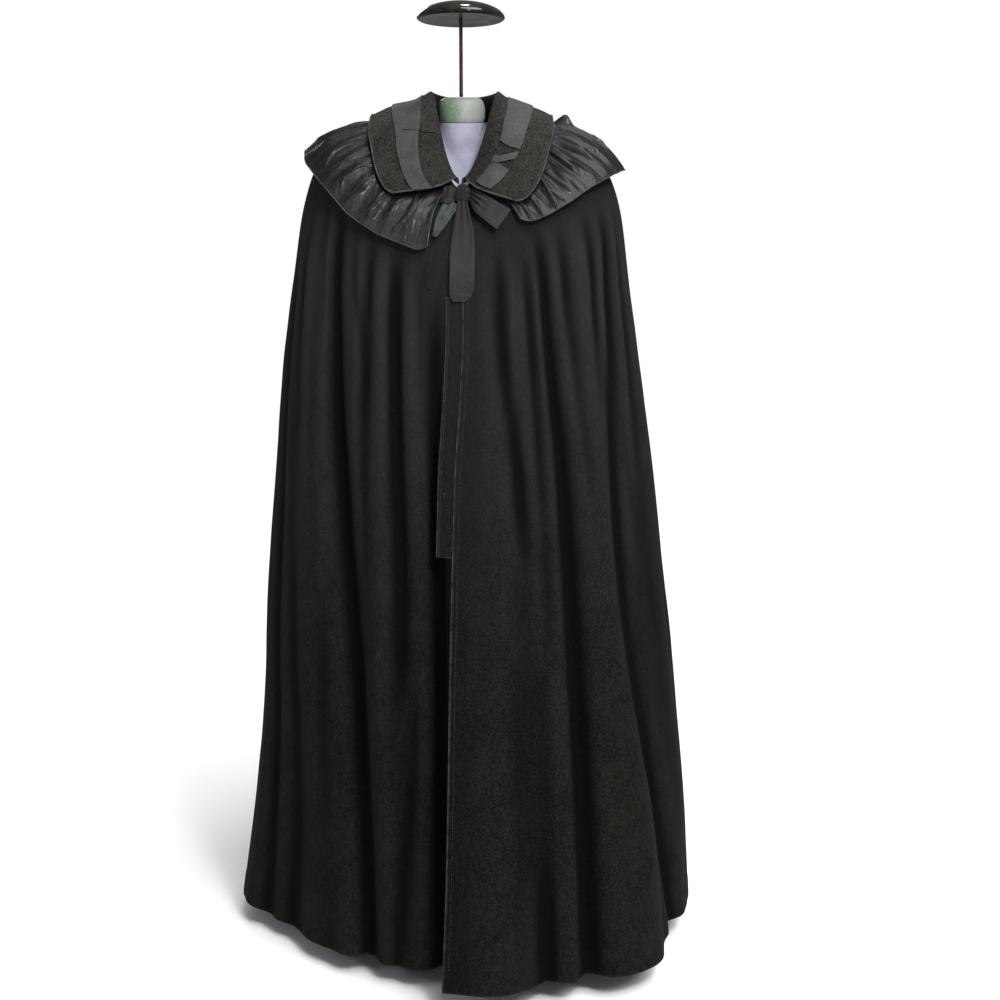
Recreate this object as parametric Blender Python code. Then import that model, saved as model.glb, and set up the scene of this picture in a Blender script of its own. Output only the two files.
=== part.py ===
"""Full-length wool cloak with a wide collar, a gathered satin flounce and a ribbon tie,
worn by a limbless dress form on a pole and a round base.

Metres, +Z up. The origin is the centre of the base's underside, the cloak opens towards -Y and
+X is the wearer's left. Angles go round the form: 0 is centre front, 90 is +X, 180 is centre
back. "Reach" is the distance down the cloth from the neck seam, measured over the shoulder.
"""
import math

import bmesh
import bpy
from mathutils import Vector

# ---------------------------------------------------------------- driving sizes
WOOL = 0.0020             # melton wool of the cloak
COLLAR_WOOL = 0.0028      # the collar is two layers of it
SATIN = 0.0012            # satin of the flounce
RIBBON = 0.0010           # grosgrain ribbon
SEAM_GAP = 0.0004         # between pieces that are sewn or laid together
SIDE_SEAM = 0.0009        # between the outer edges of the fronts and the back
HEM_REACH = 1.560         # neck seam to hem over the shoulder
FRONT_LIFT = 0.0068       # how far the overlapping front stands off the other one
STRIP_WIDTH = 0.027       # what shows of the fly strip
COLLAR_SEAT = 0.0062      # the top of the collar's leaves above the cloth
COLLAR_STAND = 0.0400     # how far the roll stands up from the neck seam
COLLAR_CORNER = 0.009     # rounding of the collar's front corners
FLOUNCE_GATHERS = 40
FLOUNCE_WAVE = 0.0055     # half height of one gather at its fullest

# The overlapping front rises between these reaches, and only as far round as these angles.
LIFT_REACHES = (0.10, 0.30)
LIFT_ANGLES = (8.0, 22.0)

FORM_GAP = 0.0005         # between the cloak and the form's shoulders
TORSO_BOTTOM = 0.700
POLE_RADIUS = 0.0175
BASE_RADIUS = 0.170
BASE_THICKNESS = 0.018
NECK_TOP = 1.4470         # middle of the neck block's top, which slants
NECK_HALF_WIDTH = 0.0400
NECK_HALF_DEPTH = 0.0450
NECK_SLANT = 0.120        # rise of the neck's top towards the back
CAP_TOP = 1.4885
ROD_RADIUS = 0.0032
DISC_RADIUS = 0.0745
DISC_RIM_HEIGHT = 1.6130
DISC_TOP = 1.6420

# One row for each section down the cloth. The half widths are to the wearer's right and left,
# the depths are of the two fronts and of the back, and the heights say where the section passes
# the sides, the centre front and the centre back.
CLOTH_COLUMNS = ("reach", "half_right", "half_left", "side_height",
                 "depth_right", "depth_left", "front_height", "depth_back", "back_height")
CLOTH_ROWS = (
    (0.000, 0.043, 0.056, 1.452, 0.084, 0.084, 1.334, 0.058, 1.458),
    (0.050, 0.104, 0.101, 1.451, 0.102, 0.102, 1.318, 0.090, 1.448),
    (0.105, 0.160, 0.152, 1.439, 0.121, 0.121, 1.296, 0.122, 1.424),
    (0.160, 0.207, 0.201, 1.415, 0.137, 0.137, 1.266, 0.144, 1.384),
    (0.220, 0.249, 0.246, 1.372, 0.150, 0.150, 1.222, 0.158, 1.332),
    (0.270, 0.266, 0.266, 1.328, 0.158, 0.158, 1.182, 0.167, 1.283),
    (0.320, 0.277, 0.277, 1.282, 0.165, 0.165, 1.140, 0.174, 1.234),
    (0.420, 0.291, 0.290, 1.182, 0.176, 0.178, 1.052, 0.184, 1.136),
    (0.570, 0.313, 0.312, 1.032, 0.192, 0.200, 0.930, 0.198, 0.992),
    (0.770, 0.333, 0.341, 0.832, 0.214, 0.234, 0.765, 0.222, 0.806),
    (0.970, 0.352, 0.364, 0.633, 0.240, 0.274, 0.596, 0.252, 0.620),
    (1.170, 0.367, 0.386, 0.433, 0.268, 0.314, 0.420, 0.284, 0.430),
    (1.340, 0.386, 0.405, 0.264, 0.289, 0.342, 0.256, 0.312, 0.262),
    (HEM_REACH, 0.420, 0.421, 0.045, 0.306, 0.362, 0.043, 0.340, 0.045),
)

# One row for each hanging fold: its piece, its angle and its height above (+) or below (-) the
# smooth cloth at chest, hip and hem, its half width in degrees, and where it starts and ends.
FOLD_REACHES = (0.36, 0.90, HEM_REACH)
FADE_LENGTH = 0.16        # over which a fold starts or ends
OWN_FOLDS = 20.0          # folds nearer to the centre than this angle are in one front only
FOLD_COLUMNS = ("piece", "chest_angle", "hip_angle", "hem_angle",
                "chest", "hip", "hem", "width", "start", "end")
FOLD_ROWS = (
    ("right", -8.5, -5.8, -4.0, -0.010, -0.020, -0.026, 2.8, 0.26, 1.80),
    ("right", -10.0, -10.5, -15.5, 0.000, -0.004, -0.012, 3.0, 0.95, 1.80),
    ("right", -22.0, -16.5, -15.0, -0.010, -0.013, 0.000, 3.0, 0.20, 1.15),
    ("right", -28.0, -23.0, -19.0, 0.009, 0.012, 0.008, 3.6, 0.22, 1.80),
    ("right", -42.0, -46.0, -50.0, 0.000, -0.014, -0.052, 19.0, 0.30, 1.80),
    ("right", -48.5, -34.5, -23.0, -0.016, -0.027, -0.034, 4.2, 0.20, 1.80),
    ("right", -62.0, -52.0, -44.0, 0.008, 0.012, 0.012, 6.0, 0.24, 1.80),
    ("right", -78.0, -72.0, -68.0, -0.006, -0.010, -0.016, 5.0, 0.34, 1.80),
    ("left", 8.0, 8.0, 8.0, 0.000, 0.006, 0.018, 7.0, 0.40, 1.80),
    ("left", 14.0, 18.8, 20.0, -0.008, -0.010, 0.000, 2.4, 0.18, 0.86),
    ("left", 24.4, 25.0, 26.5, -0.009, -0.009, 0.000, 2.2, 0.20, 1.08),
    ("left", 30.0, 31.0, 30.5, -0.013, -0.022, -0.030, 3.2, 0.18, 1.80),
    ("left", 20.0, 20.0, 20.5, 0.000, 0.000, -0.014, 2.6, 1.30, 1.80),
    ("left", 38.0, 39.0, 40.0, 0.002, 0.014, 0.044, 13.0, 0.30, 1.80),
    ("left", 45.0, 42.5, 48.0, 0.012, 0.014, 0.012, 5.0, 0.20, 1.80),
    ("left", 61.5, 47.5, 66.0, -0.012, -0.012, -0.022, 4.0, 0.24, 1.80),
    ("left", 76.0, 72.0, 78.0, 0.005, 0.006, 0.000, 6.0, 0.34, 1.80),
    ("back", 104.0, 102.0, 100.0, -0.007, -0.014, -0.020, 5.0, 0.36, 1.80),
    ("back", 122.0, 120.0, 119.0, -0.010, -0.020, -0.030, 5.0, 0.26, 1.80),
    ("back", 138.0, 136.0, 138.0, -0.006, -0.010, -0.018, 4.5, 0.30, 1.80),
    ("back", 155.0, 154.0, 156.0, -0.011, -0.022, -0.034, 5.0, 0.24, 1.80),
    ("back", 173.0, 174.0, 176.0, -0.007, -0.013, -0.020, 4.5, 0.30, 1.80),
    ("back", 192.0, 193.0, 194.0, -0.012, -0.023, -0.032, 5.0, 0.24, 1.80),
    ("back", 210.0, 212.0, 214.0, -0.006, -0.012, -0.022, 4.5, 0.32, 1.80),
    ("back", 229.0, 231.0, 234.0, -0.010, -0.021, -0.032, 5.0, 0.26, 1.80),
    ("back", 252.0, 254.0, 257.0, -0.006, -0.012, -0.018, 5.0, 0.36, 1.80),
)

# Where the two fronts end at the centre: the right one lies under the left one.
EDGE_REACHES = (0.00, 0.16, 0.34, 0.49, 0.65, 0.96, 1.35, HEM_REACH)
LEFT_EDGE = (0.6, 0.6, 1.2, 0.2, -1.3, -2.2, -2.9, -3.7)
RIGHT_EDGE = (-0.6, -0.6, 2.6, 3.0, 3.0, 2.5, 2.0, 1.5)

STRIP_ENDS = (0.30, 0.80)         # reach where the fly strip starts and ends
STRIP_HIDDEN = 0.012              # how far it runs in under the left front
STRIP_SECTIONS = 12
STRIP_COLUMNS = 4

# The sections down the cloth that its walls are drawn through.
WALL_REACHES = (0.000, 0.045, 0.085, 0.120, 0.155, 0.190, 0.230, 0.280, 0.340, 0.420, 0.520,
                0.640, 0.780, 0.940, 1.120, 1.300, 1.440, HEM_REACH)
FRONT_COLUMNS = 30
MAIN_FOLDS = {"right": 5, "left": 11}      # rows of the folds that the fronts' columns follow
MAIN_FOLD_COLUMN = {"right": 15, "left": 11}
BACK_COLUMNS = 44

# The collar from its foot inside the neck, over the roll and down the leaf: share of its reach,
# and height above the cloth as a share of the stand.
COLLAR_COLUMNS = ("share", "rise")
COLLAR_ROWS = (
    (0.000, 0.00),
    (0.000, 0.50),
    (0.020, 0.88),
    (0.075, 1.00),
    (0.145, 0.90),
    (0.300, 0.66),
    (0.520, 0.52),
    (0.760, 0.40),
    (1.000, 0.28),
)
# Where the leaves end: angle of their front corners, and their reach there and all round.
COLLAR_RIGHT_CORNER = -33.0
COLLAR_LEFT_CORNER = 28.5
COLLAR_FRONT_REACH = 0.156
COLLAR_ANGLES = (0.0, 30.0, 60.0, 90.0, 180.0)
COLLAR_RIGHT_REACHES = (COLLAR_FRONT_REACH, 0.157, 0.116, 0.090, 0.098)
COLLAR_LEFT_REACHES = (COLLAR_FRONT_REACH, 0.160, 0.125, 0.102, 0.098)

COLLAR_COLUMN_COUNT = 42
FOOT_ROWS = 2             # rows of the collar that stand upright inside the neck
CORNER_DEGREES = 6.5      # over which a front corner is rounded
THROAT_ANGLE = 2.0        # where the leaves meet at the throat, on either side
THROAT_STAND = 0.30       # share of the full stand at the throat
FULL_STAND_ANGLE = 62.0   # from here on the stand is full
BACK_STAND = 0.80         # share of the full stand at the centre back
BACK_STAND_ANGLES = (100.0, 170.0)      # between these the stand drops to that share

# The ribbon bands on the leaves: the reach of their inner edge at each angle.
BAND_ANGLES = (16.0, 30.0, 45.0, 60.0, 90.0, 180.0)
BAND_INNER_RIGHT = (0.086, 0.072, 0.048, 0.028, 0.018, 0.020)
BAND_INNER_LEFT = (0.050, 0.052, 0.046, 0.036, 0.026, 0.020)
BAND_WIDTH = 0.041
BAND_GAP = 0.0011         # between a ribbon band and the collar under it
BAND_END_GAP = 0.0007     # the same under the short end at the throat
# One row for each band: where it starts, and where its inner and outer edges end.
BAND_COLUMNS = ("node", "side", "start", "end_inner", "end_outer", "gap")
BAND_ROWS = (
    ("ribbon_right", "right", 180.2, 340.0, 333.0, BAND_GAP),
    ("ribbon_left", "left", 179.8, 46.0, 48.0, BAND_GAP),
    ("ribbon_left_end", "left", 36.0, 17.0, 22.0, BAND_END_GAP),
)
BAND_SECTIONS = 18
BAND_ACROSS = 3

# The flounce: angle, reach of its gathered and its loose edge, and how far the loose edge
# stands off the cloth. Its two ends are its first and last row.
FLOUNCE_COLUMNS = ("angle", "inner", "outer", "stand_off")
FLOUNCE_ROWS = (
    (26.0, 0.120, 0.194, 0.010),
    (38.0, 0.122, 0.206, 0.013),
    (60.0, 0.102, 0.225, 0.020),
    (90.0, 0.082, 0.240, 0.026),
    (135.0, 0.080, 0.222, 0.028),
    (180.0, 0.078, 0.218, 0.026),
    (225.0, 0.078, 0.216, 0.030),
    (270.0, 0.074, 0.208, 0.029),
    (300.0, 0.092, 0.223, 0.024),
    (325.0, 0.116, 0.231, 0.015),
    (345.5, 0.040, 0.221, 0.009),
)
# Across the flounce: share of its depth, of its stand off, of a gather's and the bunch's height.
FLOUNCE_ACROSS_COLUMNS = ("share", "stand", "wave", "bunch")
FLOUNCE_ACROSS = (
    (0.00, 0.00, 0.16, 0.0),
    (0.14, 0.10, 0.26, 0.1),
    (0.25, 0.21, 0.52, 1.0),
    (0.38, 0.34, 0.80, 0.2),
    (0.66, 0.66, 1.00, 0.0),
    (1.00, 1.00, 0.70, 0.0),
)
BUNCH_ANGLE = 88.0        # the gathering is bunched up at the wearer's left shoulder
BUNCH_WIDTH = 4.6
BUNCH_HEIGHT = 0.022

FLOUNCE_SEAT = 0.0014     # middle of the gathers above the cloth at the gathered edge
COLUMNS_A_GATHER = 4
FLOUNCE_END_SLANT = 2.6   # degrees by which the last end leans forward at the loose edge
FLOUNCE_CORNER = 0.012    # depth that the rounding takes off the loose corners
FLOUNCE_CORNER_DEGREES = 5.0

# The tie: a row for each place along a ribbon, with the slant of its width in degrees.
RIBBON_COLUMNS = ("x", "height", "out", "width", "slant")
RIBBON_ACROSS = 4
RIBBONS = {
    "bow_loop": ((-0.030, 1.318, 0.0080, 0.026, 80.0),
                 (-0.018, 1.316, 0.0110, 0.028, 84.0),
                 (-0.0080, 1.314, 0.0100, 0.021, 88.0)),
    "bow_tail_short": ((-0.0120, 1.3062, 0.0074, 0.026, 150.0),
                       (-0.026, 1.282, 0.0060, 0.022, 160.0),
                       (-0.040, 1.252, 0.0050, 0.008, 165.0)),
    "bow_ribbon": ((0.0193, 1.311, 0.0150, 0.021, 86.0),
                   (0.034, 1.300, 0.0160, 0.030, 58.0),
                   (0.050, 1.290, 0.0150, 0.035, 56.0),
                   (0.071, 1.276, 0.0170, 0.038, 54.0)),
    "bow_tail_hanging": ((0.005, 1.3031, 0.0120, 0.016, 180.0),
                         (0.005, 1.286, 0.0070, 0.024, 180.0),
                         (0.006, 1.262, 0.0030, 0.034, 180.0),
                         (0.005, 1.220, 0.0009, 0.040, 180.0),
                         (0.004, 1.174, 0.0009, 0.040, 180.0),
                         (0.002, 1.158, 0.0009, 0.034, 180.0),
                         (0.000, 1.149, 0.0009, 0.020, 180.0)),
    "bow_tail_side": ((-0.048, 1.222, 0.0008, 0.006, 180.0),
                      (-0.050, 1.195, 0.0008, 0.014, 180.0),
                      (-0.050, 1.170, 0.0008, 0.010, 180.0)),
}
RIBBON_ON_RIGHT = ("bow_tail_side",)      # the others lie on the overlapping front
KNOT_X = 0.006
KNOT_HEIGHT = 1.312
KNOT_OUT = 0.0150
KNOT_HALF_WIDTH = 0.0130
KNOT_HALF_DEPTH = 0.0075
KNOT_HALF_HEIGHT = 0.0170
KNOT_RINGS = 9
KNOT_SIDES = 12
KNOT_DENT = 0.10          # share by which the wrap is drawn in between its three lobes
KNOT_POLE = 0.06          # share of the half turn that is left open at each pole

# The form: its shoulders follow the cloak's sections down to the last of these reaches, and
# below that its own rows. The drop is how much lower a ring is at the front and back.
TORSO_REACHES = (0.045, 0.085, 0.120)
TORSO_SIDES = 40
NECK_SEAT = {"half_width": 0.0440, "depth_front": 0.0765, "depth_back": 0.0500,
             "side_height": 1.4440, "front_height": 1.3265, "back_height": 1.4440}
TORSO_COLUMNS = ("half_width", "depth_front", "depth_back", "height", "drop")
TORSO_ROWS = (
    (0.180, 0.116, 0.112, 1.385, 0.140),
    (0.176, 0.122, 0.112, 1.320, 0.120),
    (0.160, 0.126, 0.104, 1.240, 0.080),
    (0.132, 0.104, 0.090, 1.130, 0.020),
    (0.116, 0.090, 0.080, 1.030, 0.000),
    (0.150, 0.108, 0.112, 0.900, 0.000),
    (0.170, 0.116, 0.132, 0.800, 0.000),
    (0.160, 0.110, 0.124, TORSO_BOTTOM, 0.000),
)
NECK_DISH = 0.060         # the neck block is let into the torso by this much at its middle
NECK_ROWS = ((0.00, 0.00), (0.25, 0.60), (0.55, 0.90), (1.00, 1.00))   # share up, share inward
CAP_ROWS = (
    (1.000, NECK_TOP + SEAM_GAP),
    (1.015, NECK_TOP + 0.010),
    (0.998, CAP_TOP - 0.016),
    (0.925, CAP_TOP - 0.0065),
    (0.780, CAP_TOP - 0.0014),
    (0.550, CAP_TOP),
)
PIN_PLACE = (0.0440, -0.010)
PIN_PROFILE = ((0.0026, 1.4430), (0.0030, 1.4446), (0.0026, 1.4462))
DISC_HOLLOW = 0.003       # how far the disc's underside is hollowed
DISC_PROFILE = (
    (0.006, DISC_RIM_HEIGHT + DISC_HOLLOW),
    (DISC_RADIUS - 0.006, DISC_RIM_HEIGHT),
    (DISC_RADIUS, DISC_RIM_HEIGHT + 0.003),
    (DISC_RADIUS * 0.96, DISC_RIM_HEIGHT + 0.010),
    (DISC_RADIUS * 0.76, DISC_RIM_HEIGHT + 0.020),
    (DISC_RADIUS * 0.45, DISC_TOP - 0.003),
    (DISC_RADIUS * 0.15, DISC_TOP),
)
BASE_PROFILE = (
    (BASE_RADIUS, 0.000),
    (BASE_RADIUS, BASE_THICKNESS * 0.6),
    (BASE_RADIUS * 0.97, BASE_THICKNESS * 0.9),
    (0.040, BASE_THICKNESS),
)


# Finish of each material: its name, colour, roughness and metallic share.
FINISHES = (
    ("wool", (0.021, 0.019, 0.019), 0.95, 0.0),
    ("collar_wool", (0.050, 0.045, 0.044), 0.95, 0.0),
    ("satin", (0.030, 0.031, 0.031), 0.32, 0.0),
    ("grosgrain", (0.105, 0.098, 0.096), 0.60, 0.0),
    ("ribbon", (0.070, 0.064, 0.062), 0.55, 0.0),
    ("form_cloth", (0.62, 0.60, 0.68), 0.90, 0.0),
    ("cap_paint", (0.55, 0.60, 0.52), 0.60, 0.0),
    ("rod_metal", (0.070, 0.040, 0.032), 0.45, 0.8),
    ("disc_paint", (0.020, 0.019, 0.014), 0.25, 0.0),
    ("stand_paint", (0.025, 0.024, 0.023), 0.40, 0.0),
)


def table_column(columns, rows, name):
    """One named column of a table."""
    index = columns.index(name)
    return [row[index] for row in rows]


def curve_through(positions, values, at):
    """Smooth curve through a table, which does not swing past its values."""
    if at <= positions[0]:
        return values[0]
    if at >= positions[-1]:
        return values[-1]
    spans = [positions[i + 1] - positions[i] for i in range(len(positions) - 1)]
    rises = [(values[i + 1] - values[i]) / spans[i] for i in range(len(spans))]
    slopes = [rises[0]]
    for before, after in zip(rises, rises[1:]):
        slopes.append(2 * before * after / (before + after) if before * after > 0 else 0.0)
    slopes.append(rises[-1])
    place = max(i for i in range(len(spans)) if positions[i] <= at)
    t = (at - positions[place]) / spans[place]
    start = (1 + 2 * t) * (1 - t) ** 2 * values[place]
    end = t * t * (3 - 2 * t) * values[place + 1]
    start_slope = t * (1 - t) ** 2 * slopes[place]
    end_slope = -t * t * (1 - t) * slopes[place + 1]
    return start + end + spans[place] * (start_slope + end_slope)


def ease(low, high, at):
    """0 below low, 1 above high, smooth between."""
    t = min(1.0, max(0.0, (at - low) / (high - low)))
    return t * t * (3 - 2 * t)


def blend(first, second, share):
    return first + (second - first) * share


def wrapped(angle):
    """The same direction between -180 and 180 degrees."""
    return (angle + 180.0) % 360.0 - 180.0


CLOTH = {name: table_column(CLOTH_COLUMNS, CLOTH_ROWS, name) for name in CLOTH_COLUMNS}
FLOUNCE = {name: table_column(FLOUNCE_COLUMNS, FLOUNCE_ROWS, name) for name in FLOUNCE_COLUMNS}
LEAF_SHARES = table_column(COLLAR_COLUMNS, COLLAR_ROWS[1:], "share")
LEAF_RISES = table_column(COLLAR_COLUMNS, COLLAR_ROWS[1:], "rise")


def section(name, reach):
    return curve_through(CLOTH["reach"], CLOTH[name], reach)


# ---------------------------------------------------------------- the cloth's surface
def smooth_cloth(angle, reach, piece):
    """Point of the cloth without folds. The fronts differ in depth where they overlap."""
    side = math.sin(math.radians(angle))
    front = math.cos(math.radians(angle))
    half = section("half_left" if side > 0 else "half_right", reach)
    if front > 0:
        overlapping = piece == "left" or (piece == "back" and side > 0)
        depth = section("depth_left" if overlapping else "depth_right", reach)
        height = section("front_height", reach)
    else:
        depth = section("depth_back", reach)
        height = section("back_height", reach)
    side_height = section("side_height", reach)
    return Vector((half * side, -depth * front, blend(side_height, height, front * front)))


def cloth_normal(angle, reach, piece):
    """Direction away from the form, square to the smooth cloth."""
    step_angle = 1.0
    step_reach = 0.006
    low = max(0.0, reach - step_reach)
    high = min(HEM_REACH, reach + step_reach)
    down = smooth_cloth(angle, high, piece) - smooth_cloth(angle, low, piece)
    round_ = smooth_cloth(angle + step_angle, reach, piece)
    round_ -= smooth_cloth(angle - step_angle, reach, piece)
    return down.cross(round_).normalized()


def fold_angle(row, reach):
    """Where a fold lies at the given reach."""
    fold = dict(zip(FOLD_COLUMNS, row))
    angles = [fold["chest_angle"], fold["hip_angle"], fold["hem_angle"]]
    return curve_through(FOLD_REACHES, angles, reach)


def fold_height(angle, reach, piece):
    """Sum of the hanging folds at one place of the cloth."""
    total = 0.0
    for row in FOLD_ROWS:
        fold = dict(zip(FOLD_COLUMNS, row))
        middle = fold_angle(row, reach)
        if fold["piece"] != piece and abs(middle) < OWN_FOLDS:
            continue
        across = wrapped(angle - middle) / fold["width"]
        if abs(across) > 3.0:
            continue
        height = curve_through(FOLD_REACHES, [fold["chest"], fold["hip"], fold["hem"]], reach)
        height *= ease(fold["start"], fold["start"] + FADE_LENGTH, reach)
        height *= 1 - ease(fold["end"] - FADE_LENGTH, fold["end"], reach)
        total += height * math.exp(-across * across)
    return total


def cloth_point(angle, reach, piece, out=0.0):
    """Point of the folded cloth, moved out by the given distance."""
    lift = fold_height(angle, reach, piece) + out
    return smooth_cloth(angle, reach, piece) + cloth_normal(angle, reach, piece) * lift


def front_edge(piece, reach):
    """Angle where a front ends at the centre."""
    return curve_through(EDGE_REACHES, LEFT_EDGE if piece == "left" else RIGHT_EDGE, reach)


def overlap_lift(angle, reach, piece):
    """The left front rises over the right one near its edge."""
    if piece != "left":
        return 0.0
    return FRONT_LIFT * ease(*LIFT_REACHES, reach) * (1 - ease(*LIFT_ANGLES, angle))


def front_point(x, height, out, piece="left"):
    """Point in front of a front at the given place, moved out."""
    low = 0.0
    high = HEM_REACH
    for _ in range(30):
        reach = (low + high) / 2
        half = section("half_left" if x > 0 else "half_right", reach)
        angle = math.degrees(math.asin(max(-1.0, min(1.0, x / half))))
        if smooth_cloth(angle, reach, piece).z > height:
            low = reach
        else:
            high = reach
    return cloth_point(angle, reach, piece, overlap_lift(angle, reach, piece) + out)


# ---------------------------------------------------------------- making solids
def make_material(name, colour, roughness, metallic):
    material = bpy.data.materials.new(name)
    material.use_nodes = True
    shader = material.node_tree.nodes["Principled BSDF"]
    shader.inputs["Base Color"].default_value = (*colour, 1.0)
    shader.inputs["Roughness"].default_value = roughness
    shader.inputs["Metallic"].default_value = metallic
    return material


def make_object(name, points, faces, material):
    """One closed solid from its points and faces, with its faces turned out."""
    mesh = bpy.data.meshes.new(name)
    mesh.from_pydata([tuple(point) for point in points], [], faces)
    solid = bmesh.new()
    solid.from_mesh(mesh)
    bmesh.ops.recalc_face_normals(solid, faces=solid.faces)
    bmesh.ops.triangulate(solid, faces=[face for face in solid.faces if len(face.verts) > 3])
    if solid.calc_volume(signed=True) < 0:
        bmesh.ops.reverse_faces(solid, faces=solid.faces)
    solid.to_mesh(mesh)
    solid.free()
    mesh.materials.append(material)
    mesh.shade_smooth()
    made = bpy.data.objects.new(name, mesh)
    bpy.context.scene.collection.objects.link(made)
    return made


def grid_normals(rows):
    """Unit normal at each point of a grid, from its neighbours."""
    last = len(rows[0]) - 1
    normals = []
    for r, row in enumerate(rows):
        above = rows[max(r - 1, 0)]
        below = rows[min(r + 1, len(rows) - 1)]
        line = []
        for c in range(last + 1):
            round_ = row[min(c + 1, last)] - row[max(c - 1, 0)]
            line.append((below[c] - above[c]).cross(round_).normalized())
        normals.append(line)
    return normals


def border_places(row_count, count):
    """Pairs of neighbouring points along the open edges of a grid."""
    last = (row_count - 1) * count
    pairs = []
    for c in range(count - 1):
        pairs.append((c, c + 1))
        pairs.append((last + c + 1, last + c))
    for r in range(row_count - 1):
        pairs.append(((r + 1) * count, r * count))
        pairs.append((r * count + count - 1, (r + 1) * count + count - 1))
    return pairs


def make_wall(name, rows, thickness, material):
    """Closed wall of one thickness behind a grid of outer points."""
    count = len(rows[0])
    size = count * len(rows)
    outer = [point for row in rows for point in row]
    inner = []
    for row, line in zip(rows, grid_normals(rows)):
        inner += [point - normal * thickness for point, normal in zip(row, line)]
    faces = []
    for r in range(len(rows) - 1):
        for c in range(count - 1):
            corner = r * count + c
            quad = (corner, corner + 1, corner + 1 + count, corner + count)
            faces.append(quad)
            faces.append(tuple(index + size for index in reversed(quad)))
    for start, end in border_places(len(rows), count):
        faces.append((start, start + size, end + size, end))
    return make_object(name, outer + inner, faces, material)


def make_loft(name, rings, material, dish=0.0):
    """Closed solid through rings of points, its ends filled by fans, the first one dished."""
    count = len(rings[0])
    points = [point for ring in rings for point in ring]
    faces = []
    for r in range(len(rings) - 1):
        for c in range(count):
            after = (c + 1) % count
            faces.append((r * count + c, r * count + after,
                          (r + 1) * count + after, (r + 1) * count + c))
    for ring, first, sunk in ((rings[0], 0, dish), (rings[-1], (len(rings) - 1) * count, 0.0)):
        middle = sum(ring, Vector()) / count - Vector((0, 0, sunk))
        points.append(middle)
        for c in range(count):
            faces.append((first + c, first + (c + 1) % count, len(points) - 1))
    return make_object(name, points, faces, material)


def make_turned(name, profile, material, sides=32, centre=(0.0, 0.0)):
    """Solid of revolution from rows of radius and height."""
    rings = []
    for radius, height in profile:
        ring = []
        for c in range(sides):
            a = 2 * math.pi * c / sides
            ring.append(Vector((centre[0] + radius * math.cos(a),
                                centre[1] + radius * math.sin(a), height)))
        rings.append(ring)
    return make_loft(name, rings, material)


# ---------------------------------------------------------------- the cloak
def make_front(name, piece, material):
    """One front, from its side seam to its edge at the centre."""
    rows = []
    for reach in WALL_REACHES:
        seam = 90.0 - math.degrees(SIDE_SEAM / section("half_left", reach))
        edge = front_edge(piece, reach)
        first, last = (-seam, edge) if piece == "right" else (edge, seam)
        followed = fold_angle(FOLD_ROWS[MAIN_FOLDS[piece]], reach)
        columns = (0, MAIN_FOLD_COLUMN[piece], FRONT_COLUMNS)
        row = []
        for c in range(FRONT_COLUMNS + 1):
            angle = curve_through(columns, (first, followed, last), c)
            row.append(cloth_point(angle, reach, piece, overlap_lift(angle, reach, piece)))
        rows.append(row)
    return make_wall(name, rows, WOOL, material)


def make_back(material):
    rows = []
    for reach in WALL_REACHES:
        row = []
        for c in range(BACK_COLUMNS + 1):
            angle = blend(90.0, 270.0, c / BACK_COLUMNS)
            row.append(cloth_point(angle, reach, "back"))
        rows.append(row)
    return make_wall("back", rows, WOOL, material)


def make_fly_strip(material):
    """Narrow strip that shows past the edge of the left front."""
    rows = []
    for r in range(STRIP_SECTIONS + 1):
        reach = blend(*STRIP_ENDS, r / STRIP_SECTIONS)
        degrees = math.degrees(1.0 / section("half_left", reach))
        edge = front_edge("left", reach)
        row = []
        for c in range(STRIP_COLUMNS + 1):
            angle = blend(edge - STRIP_WIDTH * degrees, edge + STRIP_HIDDEN * degrees,
                          c / STRIP_COLUMNS)
            under = overlap_lift(angle, reach, "left") - WOOL - SEAM_GAP
            row.append(cloth_point(angle, reach, "left", under))
        rows.append(row)
    return make_wall("fly_strip", rows, WOOL * 0.75, material)


def collar_edge(angle):
    """Reach of the collar's outer edge."""
    reaches = COLLAR_LEFT_REACHES if wrapped(angle) > 0 else COLLAR_RIGHT_REACHES
    return curve_through(COLLAR_ANGLES, reaches, abs(wrapped(angle)))


def collar_ends(reach):
    """Angles where the two leaves end at the given reach, left leaf first."""
    share = (reach / COLLAR_FRONT_REACH) ** 0.75
    left = blend(THROAT_ANGLE, COLLAR_LEFT_CORNER, share)
    right = blend(-THROAT_ANGLE, COLLAR_RIGHT_CORNER, share)
    return left, 360.0 + right


def collar_tall(angle):
    """Share of the full stand that the collar has here: little at the throat."""
    turned = abs(wrapped(angle))
    rising = blend(THROAT_STAND, 1.0, ease(THROAT_ANGLE, FULL_STAND_ANGLE, turned))
    return rising * blend(1.0, BACK_STAND, ease(*BACK_STAND_ANGLES, turned))


def collar_point(angle, reach, rise=None, out=0.0):
    """Point on top of the collar, moved out. Inside the neck the rise says how high it is."""
    share = reach / collar_edge(angle)
    if rise is None:
        rise = curve_through(LEAF_SHARES, LEAF_RISES, share)
    height = COLLAR_SEAT + COLLAR_STAND * collar_tall(angle) * rise
    upright = Vector((0, 0, 1)).lerp(cloth_normal(angle, reach, "back"), ease(0.0, 0.5, share))
    point = smooth_cloth(angle, reach, "back") + upright.normalized() * height
    return point + cloth_normal(angle, reach, "back") * out


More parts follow.
